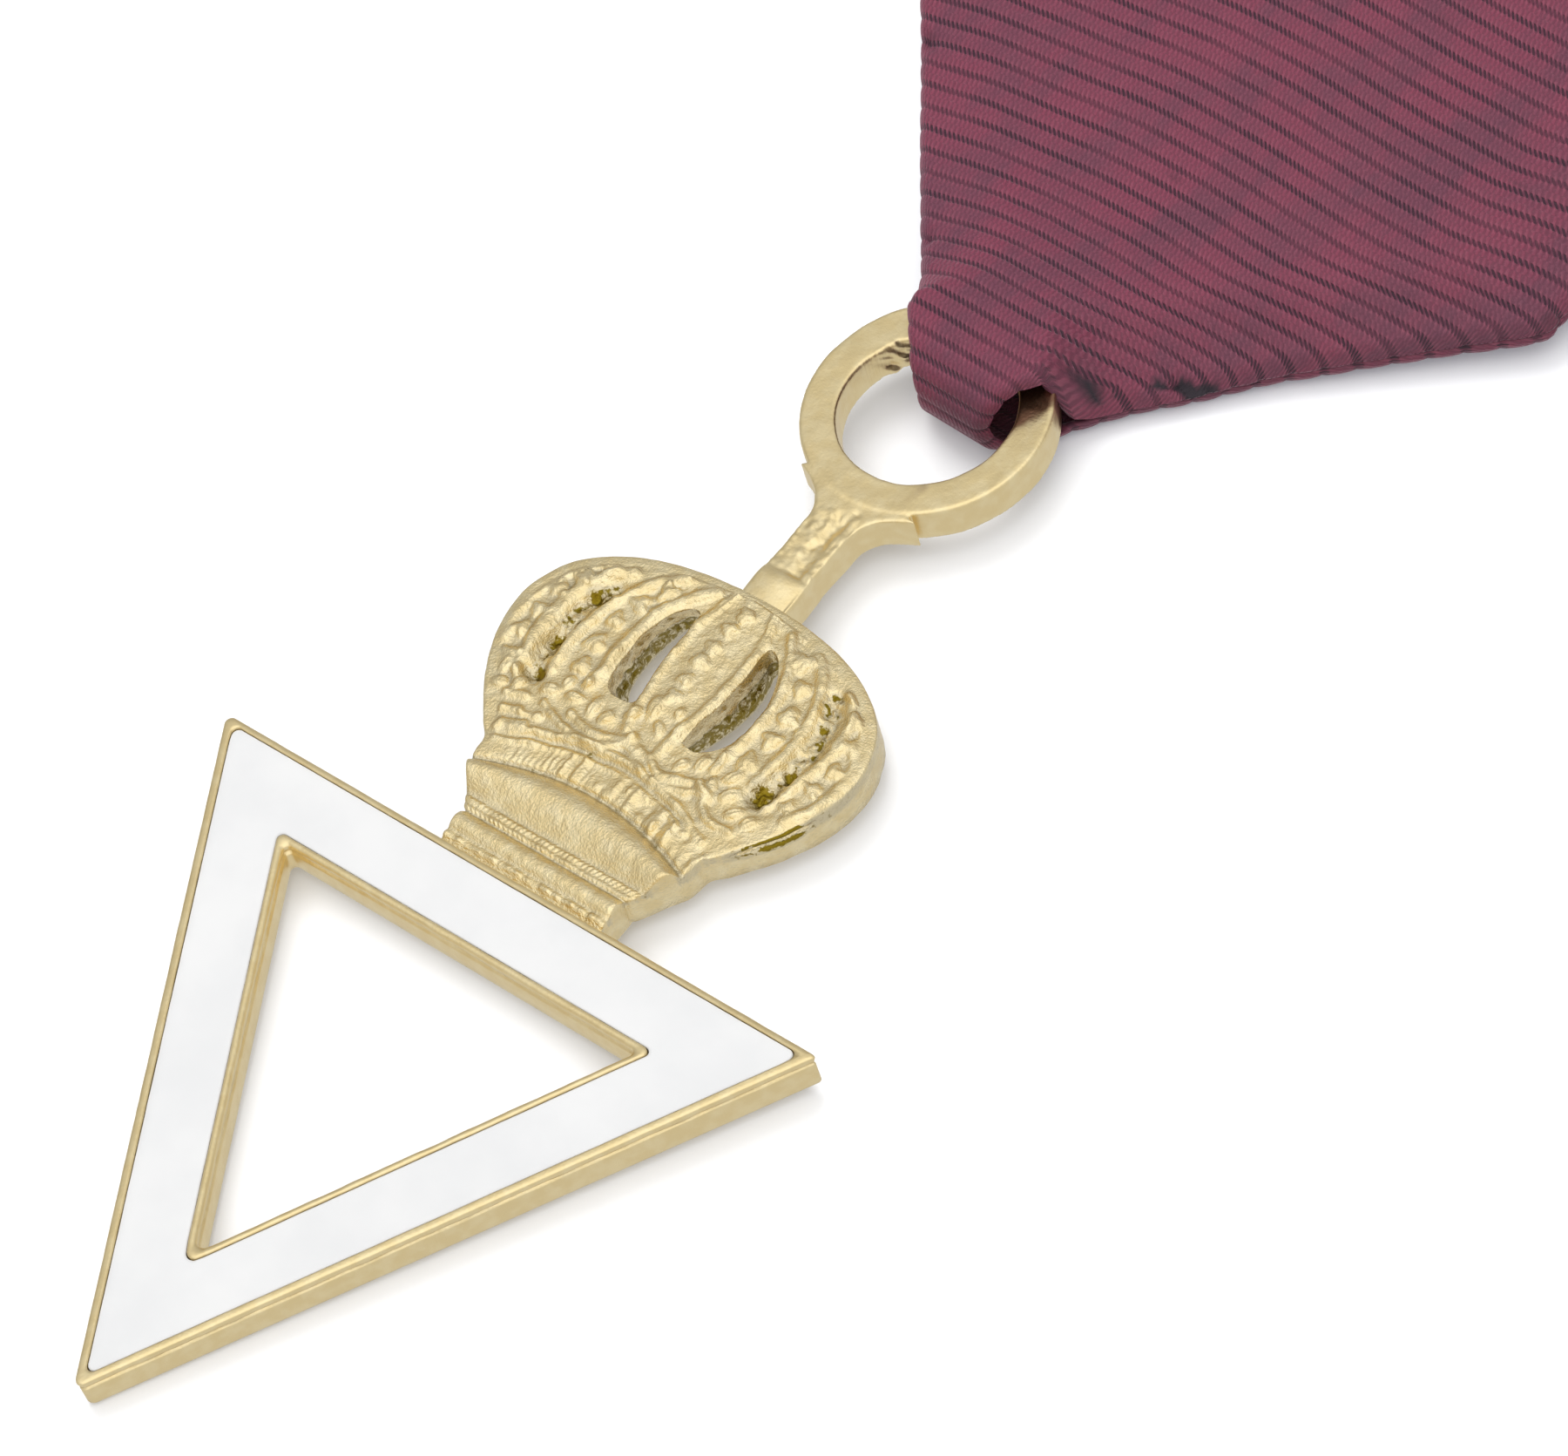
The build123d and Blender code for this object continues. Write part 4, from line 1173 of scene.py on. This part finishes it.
# How much painted shade each point of the ring gets where it lies under the cloth.
covered = soft(beyond + 0.12 * uneven(ring_x, ring_y, 0.35, 4), -0.30, 0.15) * soft(ring_x, 2.0, 3.0)
write_mark(skin, "painted_cloth_shade", 0.9 * covered)
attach(stem_and_ring, "root")
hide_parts("jewel_casting")
print("stem_and_ring:", count_triangles(stem_and_ring), "triangles")

# %% [markdown]
# The ribbon is one strip. It comes down from the bar, narrows to a neck because its sides are folded in, goes
# over the ring's upper arc, down through the ring, and back up underneath. The strip is a grid whose rows follow
# the woven ribs, so every rib is real geometry, and whose columns run up the cloth. Its edges roll over where the
# sides are folded in, and below the neck they stay open, so the ring can pass through. The way below is the strip
# seen from its side: how far up the cloth, and how high over the table.

# %% The ribbon's way
RIBBON_WIDTH = 33.0
FOLD = math.tan(math.radians(42))
CLOTH = 0.45
RIB_PITCH = 0.96
RIB_HEIGHT = 0.09
WAY = [
    (50.0, 5.15), (46.0, 5.15), (40.0, 4.85), (30.0, 4.30), (20.0, 3.75), (14.5, 3.45), (11.5, 3.50), (9.0, 3.90),
    (7.0, 4.28), (5.2, 4.42), (3.45, 4.40), (2.35, 4.10), (1.55, 3.30), (1.25, 2.20), (1.55, 1.10), (2.35, 0.30),
    (3.45, 0.02), (6.0, 0.02), (9.0, 0.03), (14.0, 0.42), (20.0, 0.92), (30.0, 1.74), (40.0, 2.56), (46.0, 3.02),
    (50.0, 3.05),
]
way = smooth_line(WAY, 4000)
way_length = np.concatenate([[0], np.cumsum(np.linalg.norm(np.diff(way, axis=0), axis=1))])
way_run = np.gradient(way, way_length, axis=0)
way_out = np.column_stack([-way_run[:, 1], way_run[:, 0]])
way_out = way_out if way_out[0, 1] > 0 else -way_out
front_way, back_way = way[:1800][::-1], way[-1800:]
TURN = way_length[np.argmin(way[:, 0])]
print("the strip is", round(way_length[-1], 1), "mm long, and turns at", round(TURN, 1), "mm")


def along_way(p, table):
    """The two values of a table at the distance p along the strip."""
    return np.interp(p, way_length, table[:, 0]), np.interp(p, way_length, table[:, 1])


# %% [markdown]
# The two sides aren't quite alike. Near the loop each follows a neck drawn after the photo, given as how far up the
# cloth and how far across. Above it a side follows its fold line out to the ribbon's full width. The right fold
# lies a little further in than a straight fold would.

# %% Its edges
LEFT_NECK = [(1.25, -2.05), (1.6, -2.45), (2.4, -3.0), (3.7, -4.05), (5.0, -4.85), (5.8, -5.42), (7.0, -6.50)]
RIGHT_NECK = [(1.25, 1.80), (1.5, 2.00), (3.0, 2.50), (4.55, 3.55), (5.8, 4.42), (7.0, 5.32)]
NECK_TOP = 7.0
CORNER_BLEND = 0.3
LEFT_OUT = 0.18
RIGHT_IN = [
    (7.0, 0.98), (8.0, 1.02), (9.5, 1.18), (11.0, 1.20), (13.0, 0.85), (16.0, 0.25), (18.0, -0.15), (21.0, -0.12),
    (26.0, 0.0),
]


def table_value(v, table):
    return np.interp(v, [row[0] for row in table], [row[1] for row in table])


def edges_of(v):
    """Where the strip's two side edges are at v: the neck near the loop, then the fold line, then the full width."""
    fold = v * FOLD
    full = RIBBON_WIDTH / 2
    h = np.clip(0.5 + 0.5 * (full - fold) / CORNER_BLEND, 0, 1)
    wide = full * (1 - h) + fold * h - CORNER_BLEND * h * (1 - h)
    left = np.where(v < NECK_TOP, table_value(v, LEFT_NECK), -(wide + LEFT_OUT))
    right = np.where(v < NECK_TOP, table_value(v, RIGHT_NECK), wide - table_value(v, RIGHT_IN))
    return left, right


def rib_lean(u, v):
    """How far the ribs are pulled down the strip at u: they arch over the middle of the fold."""
    left = np.where(u < -2, 0.10 * (np.sqrt((u + 2) ** 2 + 1.0) - 1.0), 0)
    right = 0.36 * soft(u, 0.5, 8.0) + 0.10 * soft(u, 6.0, 16.0)
    fade = soft(v, 2.5, 8.0) * (1 - 0.75 * soft(v, 20.0, 36.0)) * (1 - soft(v, 40.0, 46.0))
    return (left + right) * fade


print("strip edges at the fold:", np.round(edges_of(np.array([6.0, 12.0, 25.0])), 2).tolist())

# %% [markdown]
# Two things shape a row. Above the neck its front layer comes down to the back one at both edges, more at the
# right one, and each edge rolls over by a quarter turn. Small crumples are pressed into the front beside the ring,
# each given by its place, its two sizes, its turn and its depth, and the deep ones are painted dark inside, as shade.

# %% What shapes a row
FLAT_COLUMNS = 43
ROLL_COLUMNS = 8
COLUMNS = FLAT_COLUMNS + 2 * ROLL_COLUMNS
EDGE_THICK = 1.5
ROLL_RADIUS = 0.70
OPEN_DROP = 0.60
CLOSED_DROP = EDGE_THICK / 2 - 0.01
CLOSING = (3.85, 4.65)
DENTS = [
    (3.80, 5.70, 0.75, 0.32, 30, 0.50), (6.3, 8.35, 1.3, 0.24, 36, 0.45), (9.0, 10.3, 0.9, 0.22, 40, 0.40),
    (10.3, 11.8, 0.7, 0.26, 40, 0.36), (16.6, 18.6, 0.5, 0.4, 20, 0.30), (-13.3, 15.2, 0.5, 0.4, -45, 0.30),
    (-6.3, 7.4, 0.5, 0.35, -45, 0.25),
]
flat_share = np.linspace(0, 1, FLAT_COLUMNS)
roll_turn = np.linspace(0, math.pi / 2, ROLL_COLUMNS - 1)


def near_edge(distance, v):
    """1 at an edge of the strip, fading inward. The fade is wider further up the cloth."""
    return 1 - soft(distance, -0.3, np.clip(0.6 + 1.5 * (v - 4.4), 0.6, 5.0))


def rolled_row(left, right, radius, full_drop):
    """The points across a row: where they lie, how far the rolled edges drop, and how far they are turned."""
    u, drop, tilt = np.empty(COLUMNS), np.zeros(COLUMNS), np.zeros(COLUMNS)
    middle = slice(ROLL_COLUMNS, ROLL_COLUMNS + FLAT_COLUMNS)
    u[middle] = (left + radius)[middle] + flat_share * (right - left - 2 * radius)[middle]
    for k in range(ROLL_COLUMNS):
        turn = roll_turn[min(k + 1, ROLL_COLUMNS - 2)]
        for at, side, edge in ((ROLL_COLUMNS - 1 - k, -1, left), (COLUMNS - ROLL_COLUMNS + k, 1, right)):
            u[at] = edge[at] - side * (radius[at] - radius[at] * math.sin(turn))
            drop[at] = full_drop[at] if k == ROLL_COLUMNS - 1 else radius[at] * (1 - math.cos(turn))
            tilt[at] = side * turn
    return u, drop, tilt


def crumples(u, v):
    """How deep the cloth is dented, and how much painted shade darkens its creases."""
    dent, dark = np.zeros(COLUMNS), np.zeros(COLUMNS)
    torn = 0.30 * uneven(u, v, 0.3, 6) + 0.2 * uneven(u, v, 0.7, 8)
    for dent_u, dent_v, long, wide, turn, depth in DENTS:
        t = math.radians(turn)
        du, dv = u - dent_u, v - dent_v
        along = du * math.cos(t) + dv * math.sin(t)
        across = -du * math.sin(t) + dv * math.cos(t)
        amount = np.exp(-((along / long) ** 2) - (across / wide) ** 2)
        dent += depth * amount * (1 + 0.5 * uneven(u, v, 0.5, 3))
        # The deep crumples get a painted shade inside.
        dark = np.maximum(dark, soft(amount + torn, 0.34, 0.60) * soft(depth, 0.2, 0.45))
    return dent, dark


print(COLUMNS, "columns,", len(DENTS), "crumples")

# %% [markdown]
# Now the rows can be worked out one after the other, each with its points on the outer and the inner face of the
# cloth. A row leans as its rib does, and where the edge falls, the row gives way, so that the ribs stay straight in
# the camera's eye.

# %% The strip's points
FRONT_STEPS = [0.0, 0.07, 0.16, 0.32, 0.5, 0.68, 0.84, 0.93]
BACK_STEPS = [0.0, 0.12, 0.35, 0.65, 0.88]


def strip_rows():
    """The rows' places along the strip, in ribs: finer on the front, where they show."""
    ribs = way_length[-1] / RIB_PITCH
    rows = []
    for rib in range(int(math.ceil(ribs))):
        steps = FRONT_STEPS if (rib + 0.5) * RIB_PITCH < TURN + 4 else BACK_STEPS
        rows += [rib + s for s in steps if rib + s <= ribs]
    return np.array(rows + [ribs])


def leaning_row(p, front):
    """The distances along the strip of a row's points, as its rib leans and gives way to the falling edge."""
    v = np.interp(p, way_length, way[:, 0])
    if not front:
        return np.full(COLUMNS, p)
    left, right = edges_of(v)
    u = left + flat_share * (right - left)
    fall = soft(v, *CLOSING) * max(np.interp(v, front_way[:, 0], front_way[:, 1]) - EDGE_THICK - 0.3, 0)
    lean = rib_lean(u, v) - 0.62 * fall * near_edge(right - u, v)
    lean = np.concatenate([np.full(ROLL_COLUMNS, lean[0]), lean, np.full(ROLL_COLUMNS, lean[-1])])
    return np.clip(p + lean, 0, way_length[-1])


def strip_row(s):
    """The outer and inner points of one row, with their marks for the material."""
    front = s * RIB_PITCH < TURN
    p = leaning_row(s * RIB_PITCH, front)
    v, z = along_way(p, way)
    out_v, out_z = along_way(p, way_out)
    closed = soft(v, *CLOSING)
    full_drop = OPEN_DROP + (CLOSED_DROP - OPEN_DROP) * closed
    left, right = edges_of(v)
    radius = np.minimum(ROLL_RADIUS, full_drop) - 0.10 * soft(v, 7.0, 10.0)
    u, drop, tilt = rolled_row(left, right, radius, full_drop)
    dent, dark = np.zeros(COLUMNS), np.zeros(COLUMNS)
    if front:
        top = np.interp(v, front_way[:, 0], front_way[:, 1])
        low = np.interp(v, back_way[:, 0], back_way[:, 1])
        fall = np.maximum(top - low - EDGE_THICK, 0) * closed
        z = z - fall * near_edge(right - u, v) - 0.35 * fall * near_edge(u - left, v)
        dent, dark = crumples(u, v)
    bulge = 1 - np.abs(2 * (s - np.floor(s)) - 1) ** 2.6
    strength = 1 + 0.25 * uneven(u * 0.3, np.full(COLUMNS, s), 3.0, 2)
    ripple = 0.10 * uneven(u, v, 7.0, 4) + 0.04 * uneven(u, v, 2.5, 5)
    height = RIB_HEIGHT * strength * (bulge - 1) - dent * np.cos(tilt)
    height = height + ripple * soft(v, 4.0, 9.0) * (1 - soft(v, 42.0, 46.0)) - 0.05
    sides = []
    for lift in (height, np.minimum(height, 0) * 0.3 - CLOTH):
        reach = lift * np.cos(tilt) - drop
        sides.append(np.column_stack([u + lift * np.sin(tilt), v + out_v * reach, z + out_z * reach]))
    cloth = np.column_stack([u + np.sign(tilt) * drop, np.full(COLUMNS, s), np.zeros(COLUMNS)])
    return *sides, cloth, dark


outer, inner, cloth, painted_crease_shade = (np.array(part) for part in zip(*(strip_row(s) for s in strip_rows())))
rows, columns = outer.shape[:2]
print("strip grid:", rows, "rows of", columns)

# %% [markdown]
# The two faces of the cloth are two grids, joined round their edge. The inner face is marked as shaded, because
# little light comes into the folded strip.

# %% The ribbon's mesh
INSIDE_SHADE = 0.30
first_inner = rows * columns
rim = grid_rim(rows, columns)
ribbon_faces = grid_faces(rows, columns) + grid_faces(rows, columns, start=first_inner)
ribbon_faces += band_faces(rim, rim + first_inner)
both = np.vstack([outer.reshape(-1, 3), inner.reshape(-1, 3)])
ribbon = make_piece("ribbon_cloth", both, ribbon_faces, RIBBON, silk)
write_mark(ribbon.data, "cloth", np.vstack([cloth.reshape(-1, 3)] * 2), "FLOAT_VECTOR", "vector")
write_mark(ribbon.data, "painted_crease_shade", np.concatenate([painted_crease_shade.ravel(), np.maximum(painted_crease_shade, INSIDE_SHADE).ravel()]))
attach(ribbon, "root")
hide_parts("ribbon")
print("ribbon_cloth:", count_triangles(ribbon), "triangles")

# %% [markdown]
# The bar at the ribbon's end is out of the picture, so the CAD part stays as it is, with its pin and lugs, and
# only gets the satin gilt.

# %% Brooch bar
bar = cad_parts["brooch_bar"]
bar.data.materials.clear()
bar.data.materials.append(gilt_satin)
for polygon in bar.data.polygons:
    polygon.material_index = 0
print("brooch_bar:", len(bar.data.polygons), "faces")
